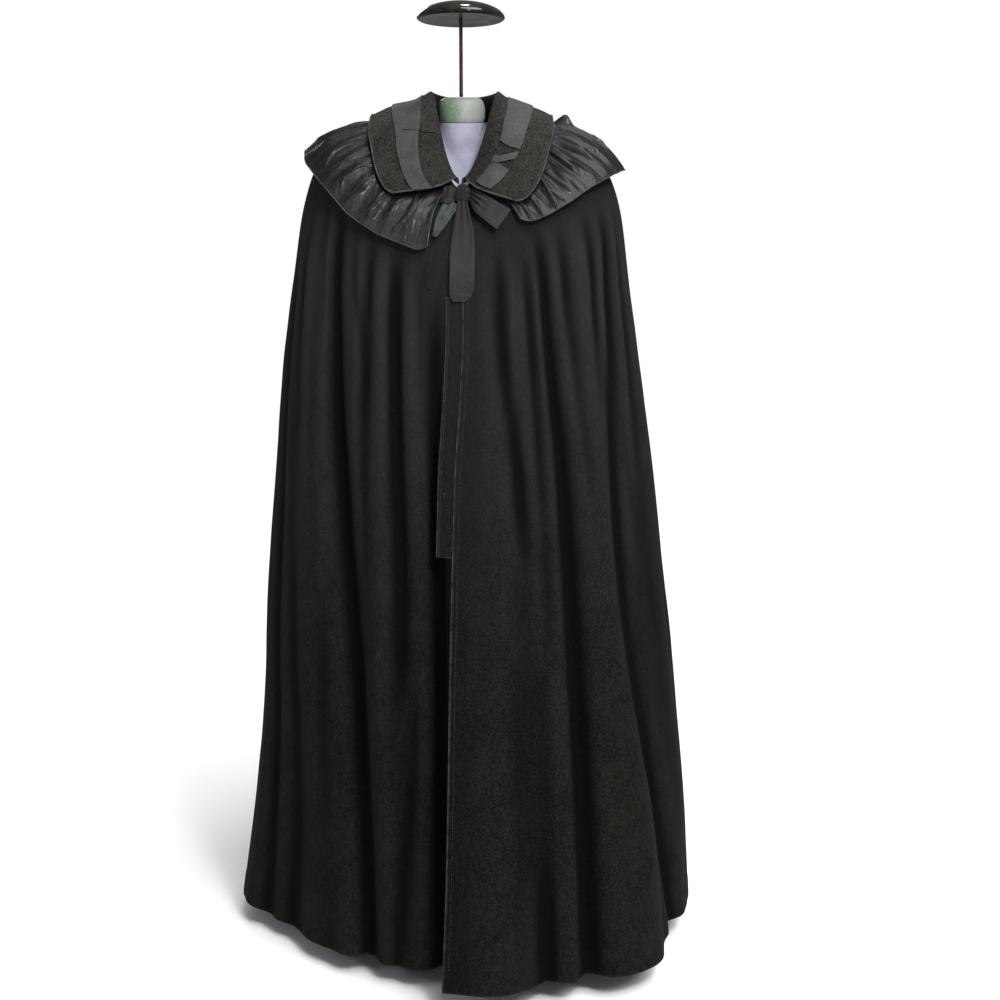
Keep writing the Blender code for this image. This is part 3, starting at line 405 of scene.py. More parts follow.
def fold_height(angle, reach, piece):
    """Sum of the hanging folds, the creases and the unevenness of the wool."""
    total = np.zeros(np.broadcast(angle, reach).shape)
    for row in FOLD_ROWS:
        fold = dict(zip(FOLD_COLUMNS, row))
        middle = fold_angle(row, reach)
        across = wrapped(angle - middle) / fold["width"]
        height = curve_through(FOLD_REACHES, [fold["chest"], fold["hip"], fold["hem"]], reach)
        height = height * ease(fold["start"], fold["start"] + FADE_LENGTH, reach)
        height = height * (1 - ease(fold["end"] - FADE_LENGTH, fold["end"], reach))
        near = np.abs(across) <= FOLD_SPAN
        if fold["piece"] != piece:
            near = near & (np.abs(middle) >= OWN_FOLDS)
        total += np.where(near, height * np.exp(-across * across), 0.0)
    for row in CREASE_ROWS:
        crease = dict(zip(CREASE_COLUMNS, row))
        if crease["piece"] != piece:
            continue
        down = ease(crease["start"], crease["end"], reach)
        middle = blend(crease["top_angle"], crease["low_angle"], down)
        middle = middle + CREASE_SWAY * np.sin(7.0 * reach + crease["top_angle"])
        across = wrapped(angle - middle) / (crease["width"] * blend(1.0, 1.5, down))
        height = crease["height"] * ease(crease["start"], crease["start"] + CREASE_FADES[0], reach)
        height = height * (1 - ease(crease["end"] - CREASE_FADES[1], crease["end"], reach))
        total += height * np.exp(-across * across) * seam_calm(angle, piece)
    uneven = 0.0
    for row in UNEVEN_ROWS:
        wave = dict(zip(UNEVEN_COLUMNS, row))
        swell = soft_noise(angle / wave["degrees"] + wave["shift"], reach / wave["length"],
                           wave["seed"])
        uneven = uneven + swell * wave["height"]
    total += uneven * ease(*UNEVEN_REACHES, reach) * seam_calm(angle, piece)
    return total


def seam_calm(angle, piece):
    """0 at the side seams and near the centre front, so that the pieces keep their gaps."""
    calm = ease(*SIDE_CALM, np.abs(np.abs(wrapped(angle)) - 90.0))
    if piece != "back":
        calm = calm * ease(*FRONT_CALM, np.abs(wrapped(angle)))
    return calm


def cloth_point(angle, reach, piece, out=0.0):
    lift = fold_height(angle, reach, piece) + out
    return smooth_cloth(angle, reach, piece) + cloth_normal(angle, reach, piece) * lift[..., None]


def front_edge(piece, reach):
    return curve_through(EDGE_REACHES, LEFT_EDGE if piece == "left" else RIGHT_EDGE, reach)


def overlap_lift(angle, reach, piece):
    if piece != "left":
        return np.zeros(np.broadcast(angle, reach).shape)
    return FRONT_LIFT * ease(*LIFT_REACHES, reach) * (1 - ease(*LIFT_ANGLES, angle))


def front_point(x, height, out, piece="left"):
    """Points in front of a front at the given places, moved out."""
    x, height, out = np.broadcast_arrays(*(np.asarray(v, float) for v in (x, height, out)))
    low = np.zeros(x.shape)
    high = np.full(x.shape, HEM_REACH)
    for _ in range(30):
        reach = (low + high) / 2
        half = np.where(x > 0, section("half_left", reach), section("half_right", reach))
        angle = np.degrees(np.arcsin(np.clip(x / half, -1.0, 1.0)))
        above = smooth_cloth(angle, reach, piece)[..., 2] > height
        low = np.where(above, reach, low)
        high = np.where(above, high, reach)
    return cloth_point(angle, reach, piece, overlap_lift(angle, reach, piece) + out)


def collar_edge(angle):
    turned = np.abs(wrapped(angle))
    return np.where(wrapped(angle) > 0, curve_through(COLLAR_ANGLES, COLLAR_LEFT_REACHES, turned),
                    curve_through(COLLAR_ANGLES, COLLAR_RIGHT_REACHES, turned))


def collar_ends(reach):
    share = (reach / COLLAR_FRONT_REACH) ** 0.75
    return (blend(THROAT_ANGLE, COLLAR_LEFT_CORNER, share),
            360.0 + blend(-THROAT_ANGLE, COLLAR_RIGHT_CORNER, share))


def collar_tall(angle):
    turned = np.abs(wrapped(angle))
    rising = blend(THROAT_STAND, 1.0, ease(THROAT_ANGLE, FULL_STAND_ANGLE, turned))
    return rising * blend(1.0, BACK_STAND, ease(*BACK_STAND_ANGLES, turned))


def collar_point(angle, reach, rise=None, out=0.0):
    share = reach / collar_edge(angle)
    if rise is None:
        rise = curve_through(LEAF_SHARES, LEAF_RISES, share)
    height = COLLAR_SEAT + COLLAR_STAND * collar_tall(angle) * rise
    normal = cloth_normal(angle, reach, "back")
    upright = blend(np.array((0.0, 0.0, 1.0)), normal, ease(0.0, 0.5, share)[..., None])
    point = smooth_cloth(angle, reach, "back") + unit(upright) * height[..., None]
    return point + normal * np.asarray(out)[..., None]


# ---------------------------------------------------------------- making meshes
def grid_normals(grid):
    return unit(np.cross(np.gradient(grid, axis=0), np.gradient(grid, axis=1)))


def run_lengths(grid, axis):
    """Length along the grid's rows or columns from their first point."""
    steps = np.linalg.norm(np.diff(grid, axis=axis), axis=-1)
    first = np.zeros_like(np.take(steps, [0], axis=axis))
    return np.cumsum(np.concatenate([first, steps], axis=axis), axis=axis)


def link_mesh(name, points, faces, material, smooth_angle=50.0):
    mesh = bpy.data.meshes.new(name)
    mesh.from_pydata(np.asarray(points, float).tolist(), [], [list(face) for face in faces])
    mesh.materials.append(material)
    mesh.shade_smooth()
    mesh.set_sharp_from_angle(angle=math.radians(smooth_angle))
    made = bpy.data.objects.new(name, mesh)
    bpy.context.scene.collection.objects.link(made)
    return made


def store_uv(mesh, places):
    """UV map in metres, one place for each point of the mesh."""
    corners = np.zeros(len(mesh.loops), np.int32)
    mesh.loops.foreach_get("vertex_index", corners)
    layer = mesh.uv_layers.new(name="cloth_metres")
    layer.data.foreach_set("uv", np.asarray(places, np.float32)[corners].ravel())


def store_value(mesh, name, values):
    attribute = mesh.attributes.new(name, "FLOAT", "POINT")
    attribute.data.foreach_set("value", np.asarray(values, np.float32).ravel())


def make_cloth(name, outer, thickness, material):
    """Closed shell behind a grid of outer points, with slightly rounded edges."""
    rows, columns = outer.shape[:2]
    normals = grid_normals(outer)
    border = np.zeros((rows, columns, 1))
    border[[0, -1]] = 1.0
    border[:, [0, -1]] = 1.0
    tuck = 0.25 * thickness * border
    points = np.concatenate([(outer - normals * tuck).reshape(-1, 3),
                             (outer - normals * (thickness - tuck)).reshape(-1, 3)])
    size = rows * columns
    index = np.arange(size).reshape(rows, columns)
    a, b, c, d = index[:-1, :-1], index[:-1, 1:], index[1:, 1:], index[1:, :-1]
    outside = np.stack([a, d, c, b], -1).reshape(-1, 4)
    inside = np.stack([a, b, c, d], -1).reshape(-1, 4) + size
    rim = [(a[0], b[0]), (c[-1], d[-1]), (d[:, 0], a[:, 0]), (b[:, -1], c[:, -1])]
    rim = [np.stack([s, e, e + size, s + size], -1) for s, e in rim]
    made = link_mesh(name, points, np.concatenate([outside, inside, *rim]), material)
    round_, down = run_lengths(outer, 1), run_lengths(outer, 0)
    places = np.stack([round_, down], -1).reshape(-1, 2)
    store_uv(made.data, np.concatenate([places, places]))
    nearest = np.minimum(np.minimum(round_, round_[:, -1:] - round_),
                         np.minimum(down, down[-1:] - down)).ravel()
    store_value(made.data, "edge", np.concatenate([nearest, nearest]))
    # How far each point stands above its neighbours along the row; the wool reads it to paint shade
    # into the hollows of its folds.
    crest = (cross_average(outer) * normals).sum(-1).ravel()
    store_value(made.data, "crest", np.concatenate([crest, crest]))
    return made


def cross_average(grid, reach=7):
    """How far each point lies from the middle of its neighbours along the row."""
    columns = np.arange(grid.shape[1])
    before = grid[:, np.maximum(columns - reach, 0)]
    after = grid[:, np.minimum(columns + reach, grid.shape[1] - 1)]
    return grid - (before + after) / 2


def make_loft(name, rings, material, smooth_angle=40.0):
    """Closed solid through rings of points that run counterclockwise, from the bottom up."""
    rings = [np.asarray(ring, float) for ring in rings]
    count = len(rings[0])
    points = np.concatenate(rings + [rings[0].mean(0)[None], rings[-1].mean(0)[None]])
    faces = []
    for r in range(len(rings) - 1):
        for c in range(count):
            after = (c + 1) % count
            faces.append((r * count + c, r * count + after,
                          (r + 1) * count + after, (r + 1) * count + c))
    last = (len(rings) - 1) * count
    for c in range(count):
        after = (c + 1) % count
        faces.append((after, c, len(points) - 2))
        faces.append((last + c, last + after, len(points) - 1))
    return link_mesh(name, points, faces, material, smooth_angle)


def circle(radius, height, sides, centre=(0.0, 0.0)):
    turn = 2 * np.pi * np.arange(sides) / sides
    return np.stack([centre[0] + radius * np.cos(turn), centre[1] + radius * np.sin(turn),
                     np.full(sides, height)], -1)


def make_turned(name, profile, material, sides=96, centre=(0.0, 0.0), smooth_angle=40.0):
    return make_loft(name, [circle(r, h, sides, centre) for r, h in profile], material,
                     smooth_angle)


def rounded_profile(corners, steps=6):
    """Profile of radius and height with each corner rounded by its third number."""
    made = []
    for i, (radius, height, fillet) in enumerate(corners):
        if fillet == 0 or i in (0, len(corners) - 1):
            made.append((radius, height))
            continue
        here = np.array((radius, height))
        before = np.array(corners[i - 1][:2]) - here
        after = np.array(corners[i + 1][:2]) - here
        start = here + before / np.linalg.norm(before) * fillet
        end = here + after / np.linalg.norm(after) * fillet
        for s in range(steps + 1):
            t = s / steps
            made.append(tuple((1 - t) ** 2 * start + 2 * t * (1 - t) * here + t * t * end))
    return made


# ---------------------------------------------------------------- shader groups
def place(tree, kind, settings, sockets):
    """A node with its settings and its inputs, each a value or another node's output."""
    node = tree.nodes.new(kind)
    for name, value in settings.items():
        setattr(node, name, value)
    for key, value in sockets.items():
        if isinstance(value, bpy.types.NodeSocket):
            tree.links.new(value, node.inputs[key])
        else:
            node.inputs[key].default_value = value
    return node


def maths(tree, operation, first, second=0.0, third=0.0):
    settings = {"operation": operation, "use_clamp": operation == "MULTIPLY_ADD"}
    return place(tree, "ShaderNodeMath", settings, {0: first, 1: second, 2: third}).outputs[0]


def product(tree, first, second):
    return maths(tree, "MULTIPLY", first, second)


def mixture(tree, *parts):
    """Sum of values, each times its share."""
    total = product(tree, *parts[0])
    for value, share in parts[1:]:
        total = maths(tree, "ADD", total, product(tree, value, share))
    return total


def axes(tree, position):
    return place(tree, "ShaderNodeSeparateXYZ", {}, {0: position}).outputs


def noise(tree, position, scale, detail=2.0, roughness=0.5):
    values = {"Vector": position, "Scale": scale, "Detail": detail, "Roughness": roughness}
    return place(tree, "ShaderNodeTexNoise", {}, values).outputs[0]


def scaled(tree, position, stretch):
    node = place(tree, "ShaderNodeVectorMath", {"operation": "MULTIPLY"},
                 {0: position, 1: stretch})
    return node.outputs[0]


def spread_out(tree, value, low, high):
    """Maps low..high of a value to 0..1."""
    node = place(tree, "ShaderNodeMapRange", {"interpolation_type": "SMOOTHSTEP"},
                 {"Value": value, "From Min": low, "From Max": high})
    return node.outputs[0]


def new_group(name, inputs, outputs):
    tree = bpy.data.node_groups.new(name, "ShaderNodeTree")
    for label, kind, value in inputs:
        socket = tree.interface.new_socket(label, in_out="INPUT", socket_type=kind)
        if value is not None:
            socket.default_value = value
    for label in outputs:
        tree.interface.new_socket(label, in_out="OUTPUT", socket_type="NodeSocketFloat")
    return tree, tree.nodes.new("NodeGroupInput").outputs, tree.nodes.new("NodeGroupOutput").inputs


def group_wool_nap():
    """Felted pile: short matted fibres that lie down the cloth, in soft patches."""
    tree, given, made = new_group("wool_nap", (
        ("Position", "NodeSocketVector", None),
        ("Pile", "NodeSocketFloat", 700.0),
        ("Patch", "NodeSocketFloat", 18.0)), ("Height", "Tone", "Fleck"))
    pile = noise(tree, given["Position"], given["Pile"], 4.0, 0.65)
    lying = scaled(tree, given["Position"], (1.0, 1.0, 0.30))
    fibre = noise(tree, lying, product(tree, given["Pile"], 1.7), 2.0, 0.6)
    clump = noise(tree, lying, product(tree, given["Pile"], 0.28), 3.0, 0.6)
    patch = noise(tree, given["Position"], given["Patch"], 3.0, 0.55)
    fleck = noise(tree, given["Position"], product(tree, given["Pile"], 0.60), 2.0, 0.7)
    tone = mixture(tree, (clump, 0.55), (patch, 0.45))
    tree.links.new(mixture(tree, (pile, 0.45), (fibre, 0.30), (clump, 0.45)), made["Height"])
    tree.links.new(spread_out(tree, tone, 0.36, 0.64), made["Tone"])
    tree.links.new(spread_out(tree, fleck, 0.44, 0.64), made["Fleck"])
    return tree


def group_cloth_weave():
    """Woven threads over a UV map in metres. Ribs 0 is plain weave, 1 is cross ribs only."""
    tree, given, made = new_group("cloth_weave", (
        ("Position", "NodeSocketVector", None),
        ("Threads", "NodeSocketFloat", 900.0),
        ("Ribs", "NodeSocketFloat", 0.0)), ("Height", "Slub"))
    cloth = axes(tree, given["Position"])
    turns = product(tree, given["Threads"], 2 * math.pi)
    warp = maths(tree, "SINE", product(tree, cloth["X"], turns))
    weft = maths(tree, "SINE", product(tree, cloth["Y"], turns))
    plain = maths(tree, "SUBTRACT", 1.0, given["Ribs"])
    mixed = mixture(tree, (product(tree, warp, weft), plain), (warp, given["Ribs"]))
    streaks = noise(tree, scaled(tree, given["Position"], (1.0, 0.05, 1.0)), 420.0, 2.0, 0.6)
    tree.links.new(maths(tree, "MULTIPLY_ADD", mixed, 0.5, 0.5), made["Height"])
    tree.links.new(streaks, made["Slub"])
    return tree


def group_edge_wear():
    """Rubbed edges, from the distance to the nearest edge of the cloth, broken up by noise."""
    tree, given, made = new_group("edge_wear", (
        ("Position", "NodeSocketVector", None),
        ("Distance", "NodeSocketFloat", 0.1),
        ("Reach", "NodeSocketFloat", 0.006)), ("Mask",))
    share = maths(tree, "DIVIDE", given["Distance"], given["Reach"])
    near = maths(tree, "SUBTRACT", 1.0, spread_out(tree, share, 0.0, 1.0))
    rough = spread_out(tree, noise(tree, given["Position"], 60.0, 4.0, 0.6), 0.34, 0.62)
    tree.links.new(product(tree, near, rough), made["Mask"])
    return tree


def group_lint():
    """Sparse pale specks of lint and dust."""
    tree, given, made = new_group("lint", (
        ("Position", "NodeSocketVector", None),
        ("Cells", "NodeSocketFloat", 110.0),
        ("Size", "NodeSocketFloat", 0.10)), ("Mask",))
    cells = place(tree, "ShaderNodeTexVoronoi", {"feature": "F1"},
                  {"Vector": given["Position"], "Scale": given["Cells"]}).outputs
    speck = maths(tree, "LESS_THAN", cells["Distance"], given["Size"])
    chosen = place(tree, "ShaderNodeSeparateColor", {}, {0: cells["Color"]}).outputs[0]
    kept = maths(tree, "GREATER_THAN", chosen, 0.72)
    tree.links.new(product(tree, speck, kept), made["Mask"])
    return tree


NAP = group_wool_nap()
WEAVE = group_cloth_weave()
WEAR = group_edge_wear()
LINT = group_lint()


# ---------------------------------------------------------------- materials
def use(tree, group, **sockets):
    node = place(tree, "ShaderNodeGroup", {"node_tree": group}, sockets)
    return node.outputs


def colour_between(tree, first, second, share):
    """Colour between two, each a triple or another node's output."""
    def full(colour):
        return colour if isinstance(colour, bpy.types.NodeSocket) else (*colour, 1.0)
    node = place(tree, "ShaderNodeMix", {"data_type": "RGBA"}, {"Factor": share})
    for key, colour in ((6, full(first)), (7, full(second))):
        if isinstance(colour, bpy.types.NodeSocket):
            tree.links.new(colour, node.inputs[key])
        else:
            node.inputs[key].default_value = colour
    return node.outputs[2]


def times(colour, factor):
    return tuple(factor * part for part in colour)


def lay_over(tree, colour, laid, mask, share):
    """Lays one colour over another where a mask is, by no more than the share."""
    return colour_between(tree, colour, laid, product(tree, mask, share))


def start_material(name, constants):
    """Material with its Principled shader's constants, and the coordinates that it reads."""
    material = bpy.data.materials.new(name)
    material.use_nodes = True
    tree = material.node_tree
    for key, value in constants.items():
        tree.nodes["Principled BSDF"].inputs[key].default_value = value
    return material, tree, tree.nodes.new("ShaderNodeTexCoord").outputs["Object"]


def finish_material(material, colour, roughness, *bumps):
    """Links what varies: colour, roughness and bumps, each a height, a depth and a strength."""
    tree = material.node_tree
    shader = tree.nodes["Principled BSDF"]
    tree.links.new(colour, shader.inputs["Base Color"])
    tree.links.new(roughness, shader.inputs["Roughness"])
    normal = None
    for height, depth, strength in bumps:
        sockets = {"Height": height, "Distance": depth, "Strength": strength}
        if normal is not None:
            sockets["Normal"] = normal
        normal = place(tree, "ShaderNodeBump", {}, sockets).outputs[0]
    if normal is not None:
        tree.links.new(normal, shader.inputs["Normal"])
    return material


def cloth_places(tree):
    return place(tree, "ShaderNodeUVMap", {"uv_map": "cloth_metres"}, {}).outputs[0]


def stored(tree, name):
    return place(tree, "ShaderNodeAttribute", {"attribute_name": name}, {}).outputs["Fac"]


def worn_edge(tree, position, reach):
    """Mask of the rubbed edges, that many metres wide."""
    return use(tree, WEAR, Position=position, Distance=stored(tree, "edge"), Reach=reach)["Mask"]


def wool_material(name, dark, pale, worn, pile, bump, sheen, painted_top_light=None):
    """Felted wool, with painted shade in the hollows of its folds. Given the last number, its
    colour from the chest up is painted that many times as pale, a painted light from above.
    """
    material, tree, position = start_material(name, {
        "Sheen Weight": sheen, "Sheen Roughness": 0.45, "Sheen Tint": (0.74, 0.74, 0.70, 1.0),
        "Specular IOR Level": 0.04})
    nap = use(tree, NAP, Position=position, Pile=pile, Patch=16.0)
    lint = use(tree, LINT, Position=position, Cells=120.0, Size=0.085)["Mask"]
    weave = use(tree, WEAVE, Position=cloth_places(tree), Threads=640.0, Ribs=0.0)
    crest = spread_out(tree, stored(tree, "crest"), -0.0075, 0.0065)
    colour = colour_between(tree, dark, pale, nap["Tone"])
    colour = lay_over(tree, colour, times(pale, 3.0), nap["Fleck"], 0.42)
    if painted_top_light:
        # Painted light: paler from the chest up, unevenly, as if lit more from above.
        uneven = product(tree, noise(tree, position, 5.0, 3.0), 0.30)
        high = maths(tree, "ADD", axes(tree, position)["Z"], uneven)
        light_from_above_share = spread_out(tree, high, 0.55, 1.65)
        colour = lay_over(tree, colour, (painted_top_light * pale[1],) * 3, light_from_above_share, 0.45)
    # Painted shade: the wool is painted darker in the hollows of its folds, where it lies below its
    # neighbours.
    painted_fold_shade = maths(tree, "MULTIPLY_ADD", crest, -0.85, 0.85)
    colour = colour_between(tree, colour, times(dark, 0.30), painted_fold_shade)
    colour = lay_over(tree, colour, worn, worn_edge(tree, position, 0.0050), 0.75)
    colour = lay_over(tree, colour, times(worn, 5), lint, 0.22)
    rough = maths(tree, "MULTIPLY_ADD", nap["Tone"], 0.10, 0.86)
    return finish_material(material, colour, rough,
                           (weave["Height"], 0.00025, 0.25), (nap["Height"], bump, 0.8))


def satin_material():
    material, tree, position = start_material("satin", {
        "Sheen Weight": 0.02, "Sheen Roughness": 0.35, "Specular IOR Level": 0.22,
        "Coat Weight": 0.13, "Coat Roughness": 0.18, "Coat IOR": 1.45})
    cloth = cloth_places(tree)
    weave = use(tree, WEAVE, Position=cloth, Threads=1500.0, Ribs=1.0)
    patches = spread_out(tree, noise(tree, position, 28.0, 4.0, 0.6), 0.34, 0.66)
    colour = colour_between(tree, (0.0036, 0.0040, 0.0036), (0.0080, 0.0090, 0.0076), patches)
    colour = lay_over(tree, colour, (0.050, 0.050, 0.044), worn_edge(tree, position, 0.0024), 0.6)
    rough = maths(tree, "MULTIPLY_ADD", weave["Slub"], 0.20, 0.30)
    rough = maths(tree, "ADD", rough, product(tree, patches, 0.10))
    crumple = noise(tree, position, 60.0, 3.0, 0.5)
    drawn = noise(tree, scaled(tree, cloth, (1.0, 0.22, 1.0)), 150.0, 2.0, 0.45)
    creased = maths(tree, "ABSOLUTE", maths(tree, "SUBTRACT", drawn, 0.5))
    return finish_material(material, colour, rough, (crumple, 0.0012, 0.25),
                           (creased, 0.0030, -0.30), (weave["Height"], 0.00012, 0.5))


def ribbon_material(name, dark, pale, threads, depth, roughness, gloss=1.0, painted_shade_lengths=None):
    """Ribbed ribbon. Given two lengths, it is painted darker at its start, a painted shade by the
    knot, and pales to its own colour between these two lengths from its start.
    """
    material, tree, position = start_material(name, {
        "Sheen Weight": 0.14 * gloss, "Sheen Roughness": 0.40,
        "Specular IOR Level": 0.30 * gloss})
    cloth = cloth_places(tree)
    weave = use(tree, WEAVE, Position=cloth, Threads=threads, Ribs=1.0)
    patches = spread_out(tree, noise(tree, position, 55.0, 4.0, 0.6), 0.30, 0.70)
    tone = mixture(tree, (patches, 0.7), (weave["Height"], 0.3))
    dust = spread_out(tree, noise(tree, position, 330.0, 2.0, 0.7), 0.44, 0.64)
    colour = colour_between(tree, dark, pale, tone)
    colour = lay_over(tree, colour, times(pale, 2.0), dust, 0.28)
    colour = lay_over(tree, colour, times(pale, 1.6), worn_edge(tree, position, 0.0022), 0.25)
    # Painted shade: the ribbon is darker near the knot, up to the first length.
    if painted_shade_lengths:
        near = maths(tree, "SUBTRACT", 1.0, spread_out(tree, axes(tree, cloth)["Y"], *painted_shade_lengths))
        colour = lay_over(tree, colour, times(dark, 0.5), near, 0.85)
    rough = maths(tree, "MULTIPLY_ADD", weave["Slub"], 0.25, roughness)
    return finish_material(material, colour, rough,
                           (noise(tree, position, 260.0, 3.0), 0.0004, 0.5),
                           (weave["Height"], depth, 0.8))


def jersey_material():
    """Knitted cover of the form, bluer from 1.385 m down."""
    material, tree, position = start_material("form_jersey", {
        "Sheen Weight": 0.25, "Sheen Roughness": 0.5, "Specular IOR Level": 0.25})
    knit = noise(tree, scaled(tree, position, (1.0, 1.0, 0.6)), 620.0, 3.0, 0.65)
    shade = spread_out(tree, noise(tree, position, 24.0, 3.0), 0.35, 0.65)
    high = spread_out(tree, axes(tree, position)["Z"], 1.345, 1.385)
    low = maths(tree, "SUBTRACT", 1.0, high)
    specks = spread_out(tree, knit, 0.52, 0.78)
    colour = colour_between(tree, (0.215, 0.215, 0.283), (0.292, 0.285, 0.353), shade)
    colour = lay_over(tree, colour, (0.255, 0.340, 0.408), low, 0.6)
    colour = lay_over(tree, colour, (0.50, 0.50, 0.58), specks, 0.55)
    rough = maths(tree, "MULTIPLY_ADD", knit, 0.15, 0.80)
    return finish_material(material, colour, rough, (knit, 0.0006, 0.6))


def cap_material():
    """Painted wood, worn pale with a greener patch on the wearer's right."""
    material, tree, position = start_material("cap_paint", {"Specular IOR Level": 0.4})
    grain = noise(tree, scaled(tree, position, (1.0, 1.0, 0.5)), 480.0, 3.0, 0.65)
    blotch = noise(tree, position, 42.0, 3.0, 0.6)
    side = mixture(tree, (axes(tree, position)["X"], -22.0), (blotch, 1.2))
    green = spread_out(tree, side, 0.25, 1.05)
    colour = colour_between(tree, (0.215, 0.233, 0.210), (0.118, 0.166, 0.114), green)
    colour = lay_over(tree, colour, (0.40, 0.425, 0.39), spread_out(tree, grain, 0.50, 0.80), 0.5)
    rough = maths(tree, "MULTIPLY_ADD", blotch, 0.2, 0.42)
    return finish_material(material, colour, rough, (blotch, 0.0006, 0.3), (grain, 0.0002, 0.4))


def painted_material(name, dark, pale, roughness, metallic, scale, level=0.5, glossy=None):
    """Lacquer over metal or wood, with faint mottling, and polished above these heights."""
    material, tree, position = start_material(name, {
        "Metallic": metallic, "Specular IOR Level": level, "Coat Roughness": 0.08})
    if glossy:
        polished = spread_out(tree, axes(tree, position)["Z"], *glossy)
        tree.links.new(polished, tree.nodes["Principled BSDF"].inputs["Coat Weight"])
    mottle = spread_out(tree, noise(tree, position, scale, 5.0, 0.6), 0.35, 0.68)
    fine = noise(tree, position, scale * 12, 3.0, 0.6)
    rough = maths(tree, "MULTIPLY_ADD", mottle, 0.10, roughness)
    return finish_material(material, colour_between(tree, dark, pale, mottle), rough,
                           (mottle, 0.0003, 0.15), (fine, 0.00006, 0.3))


def thread_material():
    material, tree, position = start_material("thread", {"Specular IOR Level": 0.45})
    tone = spread_out(tree, noise(tree, position, 900.0, 2.0), 0.35, 0.65)
    colour = colour_between(tree, (0.030, 0.029, 0.027), (0.075, 0.073, 0.068), tone)
    rough = maths(tree, "MULTIPLY_ADD", tone, 0.15, 0.45)
    return finish_material(material, colour, rough,
                           (noise(tree, position, 2500.0, 2.0), 0.00008, 0.5))


def floor_material():
    material, tree, position = start_material("floor", {"Specular IOR Level": 0.2})
    tone = noise(tree, position, 0.8, 2.0)
    colour = colour_between(tree, (0.92, 0.92, 0.915), (0.95, 0.95, 0.945), tone)
    return finish_material(material, colour, maths(tree, "MULTIPLY_ADD", tone, 0.1, 0.7))


WOOL_LOOK_COLUMNS = ("name", "dark", "pale", "worn", "pile", "bump", "sheen", "painted_top_light")
WOOL_LOOKS = {
    # The wool's last number paints light from above onto its chest and shoulders.
    "wool": ("wool_melton", (0.0033, 0.0034, 0.0028), (0.0081, 0.0083, 0.0070),
             (0.0190, 0.0194, 0.0170), 620.0, 0.0013, 0.003, 3.9),
    "collar_wool": ("wool_brushed", (0.0125, 0.0128, 0.0108), (0.0260, 0.0265, 0.0232),
                    (0.048, 0.048, 0.044), 560.0, 0.0014, 0.02),
    "piping": ("wool_piping", (0.020, 0.020, 0.018), (0.042, 0.042, 0.038),
               (0.070, 0.070, 0.064), 700.0, 0.0004, 0.08),
    # Paler wool of the rolled edges: partly rubbed wear, partly a painted highlight along the edge.
    "edge": ("wool_edge", (0.012, 0.012, 0.0105), (0.026, 0.026, 0.0235),
             (0.044, 0.044, 0.040), 700.0, 0.0004, 0.08),
    # Near-black wool for the painted shadow of a crease on the collar.
    "painted_crease_line": ("wool_seam", (0.0012, 0.0012, 0.0010), (0.0030, 0.0030, 0.0026),
                  (0.0060, 0.0060, 0.0054), 700.0, 0.0004, 0.0),
}
RIBBON_LOOK_COLUMNS = ("name", "dark", "pale", "threads", "depth", "roughness", "gloss", "painted_shade_lengths")
RIBBON_LOOKS = {
    "grosgrain": ("grosgrain", (0.0205, 0.0210, 0.0192), (0.0400, 0.0407, 0.0374),
                  480.0, 0.0004, 0.50),
    # The bow ribbon's last pair paints shade on it near the knot.
    "ribbon": ("bow_ribbon", (0.0036, 0.0040, 0.0037), (0.0122, 0.0128, 0.0121),
               900.0, 0.0002, 0.50, 1.0, (0.022, 0.090)),
    "dull_ribbon": ("dull_ribbon", (0.0050, 0.0052, 0.0046), (0.0120, 0.0124, 0.0110),
                    900.0, 0.0002, 0.60, 0.2),
    "teal_ribbon": ("teal_ribbon", (0.0075, 0.0125, 0.0115), (0.0200, 0.0310, 0.0290),
                    900.0, 0.0002, 0.36),
}
PAINT_LOOK_COLUMNS = ("name", "dark", "pale", "roughness", "metallic", "scale", "level", "glossy")
PAINT_LOOKS = {
    "rod_metal": ("rod_lacquer", (0.021, 0.011, 0.010), (0.042, 0.025, 0.023), 0.36, 0.6, 90.0),
    "disc_paint": ("disc_enamel", (0.006, 0.006, 0.0045), (0.020, 0.017, 0.011), 0.40, 0.0, 45.0,
                   0.04, (1.6160, 1.6190)),
    "stand_paint": ("stand_lacquer", (0.016, 0.016, 0.015), (0.036, 0.034, 0.031),
                    0.34, 0.0, 30.0),
    "hook": ("hook_wire", (0.020, 0.019, 0.018), (0.060, 0.055, 0.050), 0.32, 0.8, 300.0),
}
MATERIALS = {"satin": satin_material(), "form_cloth": jersey_material(),
             "cap_paint": cap_material(), "thread": thread_material()}
for make, columns, looks in ((wool_material, WOOL_LOOK_COLUMNS, WOOL_LOOKS),
                             (ribbon_material, RIBBON_LOOK_COLUMNS, RIBBON_LOOKS),
                             (painted_material, PAINT_LOOK_COLUMNS, PAINT_LOOKS)):
    for slot, look in looks.items():
        MATERIALS[slot] = make(**dict(zip(columns, look)))


# ---------------------------------------------------------------- shape trees
def shape_tree(name, inputs):
    tree = bpy.data.node_groups.new(name, "GeometryNodeTree")
    tree.interface.new_socket("Path", in_out="INPUT", socket_type="NodeSocketGeometry")
    for label, kind in inputs:
        tree.interface.new_socket(label, in_out="INPUT", socket_type=kind)
    tree.interface.new_socket("Shape", in_out="OUTPUT", socket_type="NodeSocketGeometry")
    return tree, tree.nodes.new("NodeGroupInput").outputs, tree.nodes.new("NodeGroupOutput").inputs


def finish_tree(tree, shape, material, made):
    whole = place(tree, "GeometryNodeRealizeInstances", {}, {0: shape}).outputs[0]
    smooth = place(tree, "GeometryNodeSetShadeSmooth", {}, {"Geometry": whole}).outputs[0]
    final = place(tree, "GeometryNodeSetMaterial", {},
                  {"Geometry": smooth, "Material": material}).outputs[0]
    tree.links.new(final, made["Shape"])


